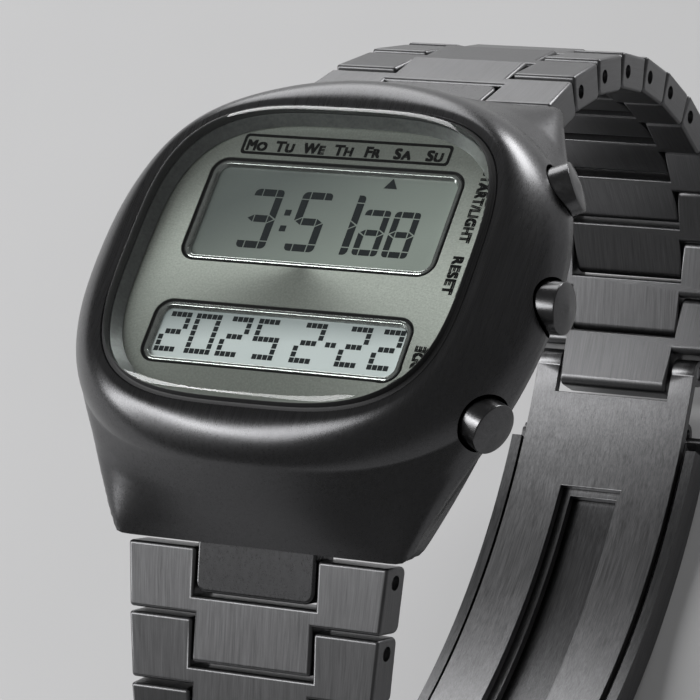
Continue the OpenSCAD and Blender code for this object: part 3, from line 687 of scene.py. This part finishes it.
# %% Axes of the pushers and the cuts in the case
FIRST_PIN, FIRST_HEADING = (18.85, -0.6), 33.5
PUSHER_SPOTS = {"upper": (16.7, 9.75, 26), "middle": (18.85, 0, 0), "lower": (16.7, -9.75, -26)}
PUSHER_Z, RECESS_FLOOR, RECESS_MOUTH, RECESS_R = 5.0, -3.9, 5, 2.05
BORE_END, BORE_R = -9, 1.32
BACK_A, BACK_B, BACK_POWER, BACK_STEP = 13.85, 14.35, 3, 0.9
SCREW_SPOTS = ((5, 12.9), (-5, 12.9), (-5, -12.9), (5, -12.9))
SCREW_HOLE_R, SCREW_HOLE_END, CUTTER_EXTRA = 0.42, 3.4, 1


def pusher_axis(which):
    x, y, splay = PUSHER_SPOTS[which]
    return (Matrix.Translation((x, y, PUSHER_Z)) @ Matrix.Rotation(math.radians(splay), 4, "Z")
            @ Matrix.Rotation(math.pi / 2, 4, "Y"))


for half_turn in (0, math.pi):
    tab = case_tab()
    place = (Matrix.Rotation(half_turn, 4, "Z") @ Matrix.Translation((0, *FIRST_PIN))
             @ Matrix.Rotation(-math.radians(FIRST_HEADING), 4, "X")
             @ Matrix.Translation((0, -PITCH, 0)))
    tab.data.transform(in_metres(place))
    carve(case, tab, "UNION")
carve(case, loft("back_step", [ring(cushion(BACK_A, BACK_B, BACK_POWER), z)
                               for z in (-3, BACK_STEP)]))
for x, y in SCREW_SPOTS:
    carve(case, rod("screw_hole", (x, y, 0.5), (x, y, SCREW_HOLE_END), SCREW_HOLE_R))
for which in PUSHER_SPOTS:
    axis = pusher_axis(which)
    for name, r, low, high, count in (("recess", RECESS_R, RECESS_FLOOR, RECESS_MOUTH, 96),
                                      ("bore", BORE_R, BORE_END, 0, 48)):
        carve(case, lathe(name, [(0, low), (r, low), (r, high), (0, high)], axis, count=count))
for sign in (1, -1):
    y, z = sign * FIRST_PIN[0], FIRST_PIN[1]
    reach = TAB_HALF + CUTTER_EXTRA
    carve(case, rod("tab_bore", (-reach, y, z), (reach, y, z), PIN_R + RUN_GAP), crisp=28)
refinish(case, CASE_STEEL)
level_faces(case)
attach(case, "head")
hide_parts("case_body")
print("case:", len(case.data.polygons), "faces")

# %% [markdown]
# ## Crystal, gasket and window frames
# The crystal is a thick plate of glass with a narrow polished bevel. The gasket that holds it has a
# black collar round the crystal's edge. The collar shows as a black line from every side and also
# paints the shade and dark reflection in that edge. A satin ring slopes from the crystal's seat
# down to the dial. Each is one profile of inset and height, carried round the cushion.

# %% Crystal, gasket and dial ring
CRYSTAL_GAP = 0.37
profile = [(0.06, 8.90), (0.0, 8.96), (0.0, 9.90), (0.015, 9.94), (0.05, 9.965), (0.30, 10.09),
           (0.36, 10.112), (0.43, 10.125), (1.3, 10.205), (2.4, 10.28), (4.0, 10.33)]
crystal = loft("watch_crystal", [seat_ring(CRYSTAL_GAP + d, z) for d, z in profile], CRYSTAL,
               crisp=12)
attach(crystal, "head")
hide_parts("crystal")

# the collar, from 9.40 up to 9.88 round the crystal's edge, is black rubber that also paints the
# edge's shade and dark reflection
profile = [(0.0, 8.90), (0.0, 9.30), (0.04, 9.345), (0.10, 9.36), (0.22, 9.37), (0.27, 9.40),
           (0.29, 9.46), (0.30, 9.85), (0.31, 9.88), (0.345, 9.88), (0.36, 9.85), (0.365, 8.90)]
gasket = loft("gasket", [seat_ring(d, z) for d, z in profile], SEAL_RUBBER, loop=True)
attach(gasket, "head")
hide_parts("crystal_gasket")

profile = [(0.40, 8.885), (0.97, 8.045), (1.00, 8.045), (1.00, 8.075), (0.47, 8.885)]
dial_ring = loft("dial_ring", [seat_ring(d, z) for d, z in profile], RING_STEEL, loop=True)
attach(dial_ring, "head")
print("over the dial:", crystal.name, gasket.name, dial_ring.name)

# %% [markdown]
# Each window of the dial is lined by a polished frame whose inner side slopes down to the glass.
# A black lining in the groove between the dial and the frame paints the groove's shade, and shows
# as a thin line on both sides of the frame.

# %% Window frames
DIAL_Z, DEPTH, CORNER = 8.0, 0.44, 1.3
WINDOWS = {"time": (9.95, -0.36, 8.20), "date": (10.05, -8.62, -3.52)}


def window_loft(name, which, profile, finish):
    """Profile of inset and height, carried round a window's outline."""
    half, low, high = WINDOWS[which]
    rings = [np.array([(x, y, z) for x, y in round_box(d - half, half - d, low + d, high - d,
                                                       CORNER - d, 14)]) for d, z in profile]
    return loft(name, rings, finish, loop=True, crisp=25)


foot, top = DIAL_Z - DEPTH + 0.02, DIAL_Z - 0.08
under, floor_line = foot - 0.018, foot - 0.008
for which in WINDOWS:
    rim = window_loft(which + "_window_frame", which, [
        (0.24, foot), (0.24, top - 0.06), (0.26, top - 0.02), (0.30, top), (0.44, top),
        (0.48, top - 0.015), (0.51, top - 0.05), (0.64, foot + 0.05), (0.64, foot)], FRAME_STEEL)
    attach(rim, "head")
    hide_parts(which + "_frame")
    # painted shade: black rubber lines the groove round the frame, where shade falls
    groove_shade = window_loft(which + "_window_lining", which, [
        (-0.10, under), (-0.10, floor_line), (0.006, floor_line), (0.006, top), (0.035, top),
        (0.035, floor_line), (0.205, floor_line), (0.205, top - 0.03), (0.235, top - 0.03),
        (0.235, floor_line), (0.30, floor_line), (0.30, under)], SEAL_RUBBER)
    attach(groove_shade, "head")
print("window frames:", list(WINDOWS))

# %% [markdown]
# ## What the displays show
# The upper cell has digits built from separate blocks: a rounded block in each corner, bars
# between them, and a middle bar that ends in two points. A digit is a list of the blocks that are
# dark. The blocks are thin plates on top of the cell, because a liquid crystal's dark segments
# lie just under its glass.

# %% Segment digits
CELL_TOP = DIAL_Z - DEPTH
GAP, TIP, COLON_HALF, PLATE = 0.09, 0.12, 0.24, 0.008
# the dark signs look shifted on their cells, by the depth of the glass over them
SHIFT_X, SHIFT_Y = 0.12, -0.11


def corner_block(x, y, s, way, radius):
    """Square block with one round corner; way counts corners from the upper right."""
    points = []
    for i, (cx, cy) in enumerate(((1, 1), (-1, 1), (-1, -1), (1, -1))):
        px, py = x + (s if cx > 0 else 0), y + (s if cy > 0 else 0)
        points += (arc(px - cx * radius, py - cy * radius, radius, 90 * i, 90, 6) if i == way
                   else [(px, py)])
    return points


def digit(x, y, w, h, s, lit):
    """Outlines of the dark blocks of one digit whose lower left corner is (x, y)."""
    right, top, mid = x + w, y + h, y + h / 2
    left_in, right_in, low, high = x + s, right - s, mid - s / 2, mid + s / 2
    start, end, near = left_in + GAP, right_in - GAP, GAP * 0.6
    over, under = top - s - GAP, y + s + GAP
    out = {
        "tl": corner_block(x, top - s, s, 1, s * 0.72),
        "tr": corner_block(right_in, top - s, s, 0, s * 0.55),
        "bl": corner_block(x, y, s, 2, s * 0.62),
        "br": corner_block(right_in, y, s, 3, s * 0.62),
        "a": block(start, top - s, end, top),
        "d": block(start, y, end, y + s),
        "g": block(start, low, end, high),
        "gl": [(x + TIP, mid), (left_in, low), (left_in, high)],
        "gr": [(right - TIP, mid), (right_in, high), (right_in, low)],
        "b": [(right_in, over), (right_in, high + GAP), (right, mid + near), (right, over)],
        "c": [(right_in, under), (right, under), (right, mid - near), (right_in, low - GAP)],
        "f": [(x, over), (x, mid + near), (left_in, high + GAP), (left_in, over)],
        "e": [(x, under), (left_in, under), (left_in, low - GAP), (x, mid - near)],
    }
    return [out[k] for k in lit.split()]


def plates(name, outlines, level, finish):
    """Thin plates over many outlines, as one piece."""
    points, faces = [], []
    for outline in outlines:
        k = len(points)
        more, sides = prism([(x + SHIFT_X, y + SHIFT_Y) for x, y in outline], level, level + PLATE)
        points += more
        faces += [tuple(k + i for i in face) for face in sides]
    return new_piece(name, points, faces, finish)


DIGITS = ((-6.10, 1.27, 2.29, 4.83, 0.57, "tl a tr b gl g gr c bl d br"),
          (-2.31, 1.27, 2.32, 4.83, 0.57, "tl a tr f gl g gr c bl d br"),
          (0.30, 1.27, 2.30, 4.83, 0.57, "tr b gr c br"),
          (2.94, 1.33, 1.94, 3.69, 0.47, "tl a tr b gl g gr e c bl d br"),
          (5.22, 1.33, 1.95, 3.69, 0.47, "tl a tr f b gl g gr e c bl d br"))
blocks = [outline for row in DIGITS for outline in digit(*row)]
blocks += [block(x - COLON_HALF, y - COLON_HALF, x + COLON_HALF, y + COLON_HALF)
           for x, y in ((-3.0, 4.31), (-2.96, 3.02))]
blocks.append([(3.60, 6.79), (4.64, 6.79), (4.12, 7.63)])
time_digits = plates("time_digits", blocks, CELL_TOP + PLATE / 2, SEGMENT)
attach(time_digits, "head")
print("blocks of the time:", len(blocks))

# %% [markdown]
# The lower cell is a dot matrix. Each character is a five by seven pattern, written as seven
# short words. The tree puts one small plate on every lit point, which is the natural job for
# Instance on Points: the points say where, and the plate's sizes are inputs. Every tree of this
# lesson is made and run by the same helpers.

# %% Helpers for trees
def new_tree(name, *takes):
    geometry = ("Geometry", "Geometry")
    return new_group(name, "Geometry", (geometry, *takes, ("Finish", "Material")), (geometry,))


def painted(tree, shape, finish):
    return add(tree, "GeometryNodeSetMaterial", {"Geometry": shape, "Material": finish}).outputs[0]


def end_tree(tree, shape, finish, leave):
    real = add(tree, "GeometryNodeRealizeInstances", {0: shape})
    feed(leave, {0: painted(tree, real.outputs[0], finish)})
    return tree


def run_tree(piece, tree, values, crisp=32):
    """Sets the tree's inputs by their identifiers and turns its result into a plain mesh."""
    step = piece.modifiers.new("tree", "NODES")
    step.node_group = tree
    for item in tree.interface.items_tree:
        if item.item_type == "SOCKET" and item.in_out == "INPUT" and item.name in values:
            step[item.identifier] = values[item.name]
    return settle(piece, crisp)

# %% Dots of the date
def dot_tree():
    tree, given, leave = new_tree(
        "Plate on every point", ("Width", "Float", 0.36 * MM), ("Height", "Float", 0.39 * MM),
        ("Thickness", "Float", PLATE * MM))
    size = add(tree, "ShaderNodeCombineXYZ",
               {0: given["Width"], 1: given["Height"], 2: given["Thickness"]})
    plate = add(tree, "GeometryNodeMeshCube", {"Size": size.outputs[0]})
    lay = add(tree, "GeometryNodeInstanceOnPoints",
              {"Points": given["Geometry"], "Instance": plate.outputs["Mesh"]})
    return end_tree(tree, lay.outputs[0], given["Finish"], leave)


PATTERNS = {"2": "01111 00001 00001 01110 10000 10000 11110",
            "0": "11111 10001 10001 10001 10001 10001 11111",
            "5": "11110 10000 10000 11111 00001 00001 01111"}
DATE = (("2", -9.18), ("0", -6.79), ("2", -4.35), ("5", -1.875), ("2", 1.40), ("2", 4.86),
        ("2", 7.33))
HYPHEN, HYPHEN_ROW = (3.71, 4.14), 3
FIRST_ROW_Y, DOT_STEP_X, DOT_STEP_Y = -4.43, 0.41, 0.463
spots = [(x0 + DOT_STEP_X * c, r) for sign, x0 in DATE
         for r, row in enumerate(PATTERNS[sign].split()) for c, lit in enumerate(row) if lit == "1"]
spots += [(x, HYPHEN_ROW) for x in HYPHEN]
dots = [(x + SHIFT_X, FIRST_ROW_Y + SHIFT_Y - DOT_STEP_Y * r, CELL_TOP + PLATE) for x, r in spots]
date_dots = new_piece("date_dots", dots, [], SEGMENT)
run_tree(date_dots, dot_tree(), {"Finish": SEGMENT})
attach(date_dots, "head")
print("dots of the date:", len(dots))

# %% [markdown]
# ## Print on the dial
# The day names and the words beside the pushers are printed in black. Text objects in Blender's
# own plain typeface are turned into meshes, scaled to their measured cap height and laid on the
# dial. Four copies, a hair apart, make the strokes bolder. The second letter of a day is a small
# capital.

# %% Words as meshes
FONT_CAP = 0.729
STROKE, INK = 0.055, 0.012


def word(text, cap, x=0.0, y=0.0, turn=0.0, anchor=0.0, stretch=1.0):
    """Points, faces and width of a word; anchor 0 starts at x, 0.5 is centred on it."""
    curve = bpy.data.curves.new("word", "FONT")
    curve.body = text
    curve.size = 1.0
    curve.space_character = 1.08
    curve.resolution_u = 4
    holder = into_scene("word", curve)
    mesh = shown_mesh(holder)
    bpy.data.objects.remove(holder)
    xs = [v.co.x for v in mesh.vertices]
    size = cap / FONT_CAP
    width = (max(xs) - min(xs)) * size * stretch
    place = (Matrix.Translation((x, y, 0)) @ Matrix.Rotation(math.radians(turn), 4, "Z")
             @ Matrix.Translation((-anchor * width, 0, 0))
             @ Matrix.Diagonal((size * stretch, size, 1, 1))
             @ Matrix.Translation((-min(xs), 0, 0)))
    return [place @ v.co for v in mesh.vertices], [tuple(p.vertices) for p in mesh.polygons], width


def face_up(work):
    bmesh.ops.recalc_face_normals(work, faces=work.faces)
    for face in work.faces:
        if face.normal.z < 0:
            face.normal_flip()


def print_piece(name, words, level):
    """One thin printed piece from many flat outlines."""
    points, faces = [], []
    for more_points, more_faces in words:
        for n, (dx, dy) in enumerate(((-1, -1), (1, -1), (1, 1), (-1, 1))):
            k = len(points)
            points += [(p[0] + dx * STROKE, p[1] + dy * STROKE, level + INK / 10 * n)
                       for p in more_points]
            faces += [tuple(k + i for i in f) for f in more_faces]
    piece = new_piece(name, points, faces, PRINT)
    edit_mesh(piece, face_up)
    thicken = piece.modifiers.new("ink", "SOLIDIFY")
    thicken.thickness = INK * MM
    thicken.offset = 1.0
    return settle(piece)

# %% Day names, words and their box
DAYS_Y, BIG_CAP, SMALL_CAP, LETTER_GAP = 8.895, 0.85, 0.68, 0.13
DAYS = (("MO", -7.00), ("TU", -4.80), ("WE", -2.46), ("TH", -0.14), ("FR", 2.17), ("SA", 4.5),
        ("SU", 6.95))
BESIDE_PUSHERS = (("START/LIGHT", 10.98, 8.36, 2.65, -90), ("RESET", 11.02, 1.45, -1.45, -90),
                  ("MODE", 11.22, -5.64, -8.2, 90))
words = []
for text, x in DAYS:
    big = word(text[0], BIG_CAP, stretch=0.92 if text[0] in "MW" else 1.05)
    small = word(text[1], SMALL_CAP, stretch=1.05)
    left = x - (big[2] + LETTER_GAP + small[2]) / 2
    for letter, start in ((big, left), (small, left + big[2] + LETTER_GAP)):
        words.append(([(p[0] + start, p[1] + DAYS_Y) for p in letter[0]], letter[1]))
for text, x, y0, y1, turn in BESIDE_PUSHERS:
    stretch = (y0 - y1) / word(text, SMALL_CAP)[2]
    words.append(word(text, SMALL_CAP, x, (y0 + y1) / 2, turn, 0.5, stretch)[:2])
outer = round_box(-8.12, 8.1, 8.60, 10.18, 0.30, 6)
inner = round_box(-8.01, 7.99, 8.71, 10.07, 0.19, 6)
n = len(outer)
words.append((outer + inner, [(i, (i + 1) % n, n + (i + 1) % n, n + i) for i in range(n)]))
dial_print = print_piece("dial_print", words, DIAL_Z - 0.02)
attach(dial_print, "head")
print("dial print:", len(dial_print.data.polygons), "faces")

# %% [markdown]
# ## Pushers
# A pusher is turned on a lathe: a cap whose end face is a shallow cone, and a thin stem. One
# profile turned round its axis gives it all. Behind the sleeve a spring clip holds the stem: a
# ring with a gap, which is a skin over small sections that stops short of a full turn.

# %% Pushers
CLIP_START, CLIP_SWEEP, CLIP_STEPS = 100, 340, 47


def pusher_piece(which):
    axis = pusher_axis(which)
    profile = [(0, -6.95), (0.5, -6.95), (0.6, -6.85), (0.6, -6.62), (0.42, -6.62), (0.42, -6.36),
               (0.6, -6.36), (0.6, -2.4), (1.74, -2.4), (1.8, -2.34), (1.8, -0.37), (1.792, -0.33),
               (1.77, -0.30), (1.73, -0.28), (1.20, -0.19), (0.60, -0.085), (0.25, -0.025),
               (0.10, -0.004), (0.0, 0.0)]
    cap = lathe("pusher_cap_" + which, profile, axis, PUSHER_STEEL, 96, crisp=28)
    sections = [[axis @ Vector((r * math.cos(a), r * math.sin(a), h))
                 for r, h in ((0.44, -6.38), (1.15, -6.38), (1.15, -6.60), (0.44, -6.60))]
                for a in (math.radians(CLIP_START + CLIP_SWEEP * i / CLIP_STEPS)
                          for i in range(CLIP_STEPS + 1))]
    clip = loft("clip", sections, PIN_STEEL)
    with bpy.context.temp_override(active_object=cap, selected_editable_objects=[cap, clip],
                                   object=cap, selected_objects=[cap, clip]):
        bpy.ops.object.join()
    smooth(cap, 28)
    return cap


for which in PUSHER_SPOTS:
    cap = pusher_piece(which)
    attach(cap, "pusher_" + which)
    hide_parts("pusher_" + which)
print("pushers:", list(PUSHER_SPOTS))

# %% [markdown]
# Behind each cap a coil spring sits in the recess. It is a spiral with a round section, so its
# tree is mostly two nodes: Spiral and Curve to Mesh.

# %% Springs
def spring_tree():
    tree, given, leave = new_tree(
        "Coil spring", ("Coil radius", "Float", 1.52 * MM), ("Wire radius", "Float", 0.11 * MM),
        ("Length", "Float", 1.24 * MM), ("Turns", "Float", 2.5))
    spiral = add(tree, "GeometryNodeCurveSpiral",
                 {"Resolution": 36, "Rotations": given["Turns"], "Height": given["Length"],
                  "Start Radius": given["Coil radius"], "End Radius": given["Coil radius"]})
    wire = add(tree, "GeometryNodeCurvePrimitiveCircle",
               {"Resolution": 10, "Radius": given["Wire radius"]})
    sweep = add(tree, "GeometryNodeCurveToMesh",
                {"Curve": spiral.outputs[0], "Profile Curve": wire.outputs[0], "Fill Caps": True})
    return end_tree(tree, sweep.outputs[0], given["Finish"], leave)


COIL, COIL_FOOT, SHORTENED = spring_tree(), 0.13, 0.52
for which in PUSHER_SPOTS:
    axis = pusher_axis(which)
    coil = new_piece("coil_" + which, [(0, 0, 0)], [], PIN_STEEL)
    run_tree(coil, COIL, {"Finish": PIN_STEEL}, 50)
    coil.data.transform(in_metres(axis @ Matrix.Translation((0, 0, RECESS_FLOOR + COIL_FOOT))))
    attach(coil, "head")
    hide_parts("spring_" + which)
    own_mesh(coil)
print("springs:", len(PUSHER_SPOTS))

# %% [markdown]
# ## Bracelet
# Every link has the same form: two wings that hold a pin, a bar that joins them, and a middle tab
# that reaches between the next link's wings. The form is built once, its edges are rounded, and
# the bores are cut. A tree then lays it: it stores where each point was on the link, for the
# brushing, pulls the outer edges in for the taper, adds the pin and moves all to its place.

# %% One link, before it is laid
LINK_HALF, LEAST_HALF, TAPER = 10.0, 8.0, 0.36
WING_REACH, BEND_GAP, SIDE_GAP, SEAT_GAP, WING_ROUND = 1.05, 0.25, 0.15, 0.02, 0.55
WINGS_CUT, TAB_CUT, JOIN_LAP = 12, 6, 0.1


def link_form():
    wing_end, bridge_start = PITCH - WING_REACH - BEND_GAP, TAB_REACH + BEND_GAP
    inner = TAB_HALF + SIDE_GAP
    wing = bar_view(-WING_REACH, wing_end, WING_ROUND, WING_ROUND)
    bridge = bar_view(bridge_start, wing_end, HEEL_ROUND, WING_ROUND)
    tab = bar_view(bridge_start, PITCH + TAB_REACH, HEEL_ROUND, TAB_ROUND)
    form = bar("link_form", -LINK_HALF, -inner, wing)
    for name, x0, x1, view in (("wing", inner, LINK_HALF, wing),
                               ("bridge", -inner - JOIN_LAP, inner + JOIN_LAP, bridge),
                               ("middle", -TAB_HALF, TAB_HALF, tab)):
        carve(form, bar(name, x0, x1, view), "UNION")
    bevel(form, EDGE_ROUND, 4, outer_only=True)
    for x, s, radius in ((WINGS_CUT, 0, PIN_R + SEAT_GAP), (TAB_CUT, PITCH, PIN_R + RUN_GAP)):
        carve(form, rod("hole", (-x, s, 0), (x, s, 0), radius), crisp=30)
    return form


FORM = link_form()
print("link:", len(FORM.data.polygons), "faces")

# %% Tree that lays a link
def link_tree(outer_from=7.0, pin_recess=0.4):
    """Points further out than outer_from follow the taper, and the pin ends inside the wings."""
    tree, given, leave = new_tree(
        "Lay a bracelet link", ("Half width", "Float", LINK_HALF * MM),
        ("Next half width", "Float", (LINK_HALF - TAPER) * MM), ("Pitch", "Float", PITCH * MM),
        ("Heading", "Float", 0.0), ("Half turn", "Float", 0.0), ("Pin radius", "Float", PIN_R * MM),
        ("Streak shift", "Float", 0.0), ("Pin place", "Vector"), ("Pin finish", "Material"))
    place = add(tree, "GeometryNodeInputPosition").outputs[0]
    x, s = add(tree, "ShaderNodeSeparateXYZ", {0: place}).outputs[:2]
    grow = add(tree, "ShaderNodeVectorMath", {0: place, "Scale": 1 / MM}, operation="SCALE")
    shifted = add(tree, "ShaderNodeVectorMath", {0: grow.outputs[0], 1: given["Streak shift"]},
                  operation="ADD")
    store = add(tree, "GeometryNodeStoreNamedAttribute",
                {"Name": "lay", "Geometry": given["Geometry"], "Value": shifted.outputs[0]},
                data_type="FLOAT_VECTOR", domain="POINT")

    drop = maths(tree, "SUBTRACT", given["Half width"], given["Next half width"])
    slope = maths(tree, "DIVIDE", drop, given["Pitch"])
    here = maths(tree, "SUBTRACT", given["Half width"], maths(tree, "MULTIPLY", slope, s))
    inward = maths(tree, "SUBTRACT", here, LINK_HALF * MM)
    outer = maths(tree, "GREATER_THAN", maths(tree, "ABSOLUTE", x), outer_from * MM)
    shift = maths(tree, "MULTIPLY", maths(tree, "MULTIPLY", inward, outer), maths(tree, "SIGN", x))
    move = add(tree, "ShaderNodeCombineXYZ", {0: shift})
    taper = add(tree, "GeometryNodeSetPosition",
                {"Geometry": store.outputs[0], "Offset": move.outputs[0]})

    reach = maths(tree, "SUBTRACT", given["Half width"], pin_recess * MM)
    pin = add(tree, "GeometryNodeMeshCylinder",
              {"Vertices": 40, "Radius": given["Pin radius"],
               "Depth": maths(tree, "MULTIPLY", reach, 2.0)})
    across = add(tree, "GeometryNodeTransform",
                 {"Geometry": pin.outputs["Mesh"], "Rotation": (0, math.pi / 2, 0)})
    both = add(tree, "GeometryNodeJoinGeometry",
               {0: painted(tree, across.outputs[0], given["Pin finish"])})
    feed(both, {0: painted(tree, taper.outputs[0], given["Finish"])})
    turn = add(tree, "ShaderNodeCombineXYZ",
               {0: maths(tree, "MULTIPLY", given["Heading"], -1.0), 2: given["Half turn"]})
    lay = add(tree, "GeometryNodeTransform",
              {"Geometry": both.outputs[0], "Translation": given["Pin place"],
               "Rotation": turn.outputs[0]})
    real = add(tree, "GeometryNodeRealizeInstances", {0: lay.outputs[0]})
    feed(leave, {0: real.outputs[0]})
    return tree


LAY_LINK = link_tree()
print("tree:", LAY_LINK.name)

# %% [markdown]
# The bracelet is laid round a wrist. Each half starts at its first pin, and one list of turns
# says how far every link bends from the one before. A running sum of the turns is the heading,
# and a step of one pitch along the heading leads to the next pin.

# %% Lay both halves
TURNS = {"12": (FIRST_HEADING, 8.5, 8.5, 9.5, 9, 9, 11, 18, 19, 19, 18),
         "6": (FIRST_HEADING, 2.5, 6, 11, 15, 17, 18, 18, 17, 15, 12)}
STREAK_STEP, STREAK_OTHER_HALF = 23.0, 7.0


def half_width(k):
    return max(LEAST_HALF, LINK_HALF - TAPER * k)


for half, turns in TURNS.items():
    sign = 1 if half == "12" else -1
    (y, z), heading = FIRST_PIN, 0.0
    for k, turn in enumerate(turns):
        heading += turn
        name = f"link_{half}_{k + 1:02d}"
        link = into_scene("steel_" + name, FORM.data.copy())
        level_faces(run_tree(link, LAY_LINK, {
            "Half width": half_width(k) * MM, "Next half width": half_width(k + 1) * MM,
            "Heading": math.radians(heading), "Half turn": 0.0 if sign > 0 else math.pi,
            "Streak shift": STREAK_STEP * (k + 1) + (STREAK_OTHER_HALF if sign < 0 else 0.0),
            "Pin place": (0, sign * y * MM, z * MM), "Finish": LINK_STEEL,
            "Pin finish": PIN_STEEL}, 30))
        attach(link, name)
        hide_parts(name)
        y += PITCH * math.cos(math.radians(heading))
        z -= PITCH * math.sin(math.radians(heading))
    print("half", half, "ends at", round(sign * y, 2), round(z, 2))
bpy.data.objects.remove(FORM)

# %% [markdown]
# ## Screws of the back
# Four small screws with a cross slot hold the back. One screw is turned and slotted, and a tree
# puts it on four points, each turned by its own angle, as hand-driven screws end up.

# %% Screws
def screw_tree():
    tree, given, leave = new_tree("Screw on every point", ("Screw", "Object"), ("Seed", "Int", 4))
    info = add(tree, "GeometryNodeObjectInfo", {"Object": given["Screw"]})
    spin = add(tree, "FunctionNodeRandomValue",
               {"Min": (0, 0, 0), "Max": (0, 0, 1.57), "Seed": given["Seed"]},
               data_type="FLOAT_VECTOR")
    lay = add(tree, "GeometryNodeInstanceOnPoints",
              {"Points": given["Geometry"], "Instance": info.outputs["Geometry"],
               "Rotation": spin.outputs[0]})
    return end_tree(tree, lay.outputs[0], given["Finish"], leave)


screw = lathe("screw", [(0, 0.12), (0.72, 0.12), (0.78, 0.15), (0.80, 0.20), (0.80, 0.58),
                        (0.40, 0.58), (0.40, 2.95), (0.28, 3.1), (0, 3.1)],
              Matrix.Identity(4), PIN_STEEL)
for turned in (0, 90):
    spin = Matrix.Rotation(math.radians(turned), 4, "Z")
    carve(screw, slab("slot", block(-0.52, -0.11, 0.52, 0.11), -0.5, 0.36, spin))
screws = new_piece("back_screws", [(x, y, 0) for x, y in SCREW_SPOTS], [], PIN_STEEL)
run_tree(screws, screw_tree(), {"Screw": screw, "Finish": PIN_STEEL})
bpy.data.objects.remove(screw)
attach(screws, "head")
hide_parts("case_back_screws")
print("screws:", len(screws.data.polygons), "faces")

# %% [markdown]
# ## Clasp, back and movement
# The clasp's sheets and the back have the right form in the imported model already, but with knife
# edges. A copy of each is merged, its flat faces are joined, and its edges get a small bevel. The
# hidden parts keep their solids and only take a finish.

# %% Softened copies
def softened(node, width, finish):
    piece = into_scene("steel_" + node, NODES[node].data.copy())
    edit_mesh(piece, lambda work: bmesh.ops.remove_doubles(work, verts=work.verts, dist=1e-6))
    refinish(piece, finish)
    return level_faces(bevel(piece, width, 2))


for node, width, finish, body, slot in (
        ("clasp_cover", 0.14, CLASP_STEEL, "clasp_cover", "clasp_steel"),
        ("middle_blade", 0.07, BLADE_STEEL, "middle_blade", "clasp_steel"),
        ("inner_blade", 0.07, BLADE_STEEL, "inner_blade", "clasp_steel"),
        ("case_back", 0.10, BACK_STEEL, "head", "back_steel")):
    piece = softened(node, width, finish)
    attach(piece, body)
    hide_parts(node)
    print(piece.name, len(piece.data.polygons), "faces")

# %% Finishes of the parts that keep their solids
KEPT = {"dial_plate": DIAL, "time_display": UPPER_CELL, "date_display": LOWER_CELL,
        "display_light": LIGHT_GUIDE, "display_connectors": CONNECTOR,
        "module_frame": MODULE_PLASTIC, "circuit_board": BOARD, "circuit_parts": CHIP,
        "battery": BATTERY, "battery_strap": STRAP, "case_back_seal": SEAL_RUBBER,
        "pusher_guides": PIN_STEEL, "pusher_seals": SEAL_RUBBER, "blade_end_bar": PIN_STEEL,
        "cover_end_bar": PIN_STEEL, "blade_hinge_pin": PIN_STEEL, "cover_hinge_pin": PIN_STEEL}
for name, finish in KEPT.items():
    refinish(NODES[name], finish)
print("parts with a finish only:", len(KEPT))

# %% [markdown]
# ## Floor, light and camera
# The watch stands on a plain pale floor. Dark steel shows little colour of its own: what gives it
# shape is the lamps that it mirrors. So four soft lamps stand where the cushion's shoulders mirror
# them to the camera: a key above, a tall strip on the left and two lamps behind. A plain grey sky
# fills the shadows. The camera stands far away, with a long lens.

# %% Floor
FLOOR_HALF = 3000
low = min(corner[2] for corner in SOLID_BOX) / MM
paper, tree, shader, place = start_material("floor_paper")
fibre = add(tree, "ShaderNodeTexNoise", {"Vector": place, "Scale": 0.05}).outputs["Fac"]
feed(shader, {"Roughness": 0.9, "Specular IOR Level": 0.1,
              "Base Color": blend_colour(tree, fibre, (0.60, 0.60, 0.605), (0.63, 0.63, 0.635))})
outline = block(-FLOOR_HALF, -FLOOR_HALF, FLOOR_HALF, FLOOR_HALF)
floor = new_piece("floor", [(x, y, low) for x, y in outline], [(0, 1, 2, 3)], paper)
print("floor level in mm:", round(low, 2))

# %% Lamps and sky
LAMP_DISTANCE = 0.60


def softbox(name, way, size, power):
    """Rectangular lamp that stands in a direction from the watch and looks back at it."""
    lamp = bpy.data.lights.new(name, "AREA")
    lamp.shape = "RECTANGLE"
    lamp.size, lamp.size_y = size
    lamp.energy = power
    holder = into_scene(name, lamp)
    holder.location = Vector(way).normalized() * LAMP_DISTANCE
    holder.rotation_euler = (-holder.location).to_track_quat("-Z", "Y").to_euler()


softbox("key", (-0.383, -0.321, 0.866), (0.32, 0.16), 1.2)
softbox("left_strip", (-0.778, -0.314, 0.545), (0.13, 0.52), 2.2)
softbox("right_back", (0.275, 0.959, 0.070), (0.26, 0.18), 2.0)
softbox("left_back", (-0.455, 0.857, 0.242), (0.26, 0.40), 1.3)
world = bpy.data.worlds.new("sky")
world.use_nodes = True
bpy.context.scene.world = world
feed(world.node_tree.nodes["Background"], {"Color": (1.0, 1.0, 1.0, 1), "Strength": 0.15})
print("lamps:", len(bpy.data.lights))

# %% Camera
camera_data = bpy.data.cameras.new("camera")
camera_data.lens = 207.65
camera_data.sensor_width = 36
camera_data.clip_start = 0.01
camera = into_scene("camera", camera_data)
# columns of the camera's matrix: its right, its up, its back and its place
columns = ((0.87772, 0.30806, -0.36702, 0), (-0.0775, 0.84713, 0.52571, 0),
           (0.47286, -0.43298, 0.76742, 0), (0.13305, -0.12285, 0.21462, 1))
camera.matrix_world = Matrix(columns).transposed()
bpy.context.scene.camera = camera
bpy.context.scene.view_settings.view_transform = "Standard"
print("camera at", tuple(round(c, 3) for c in camera.location))

# %% Print the sizes of the solids
print("solids:", [[round(c / MM, 2) for c in corner] for corner in SOLID_BOX])
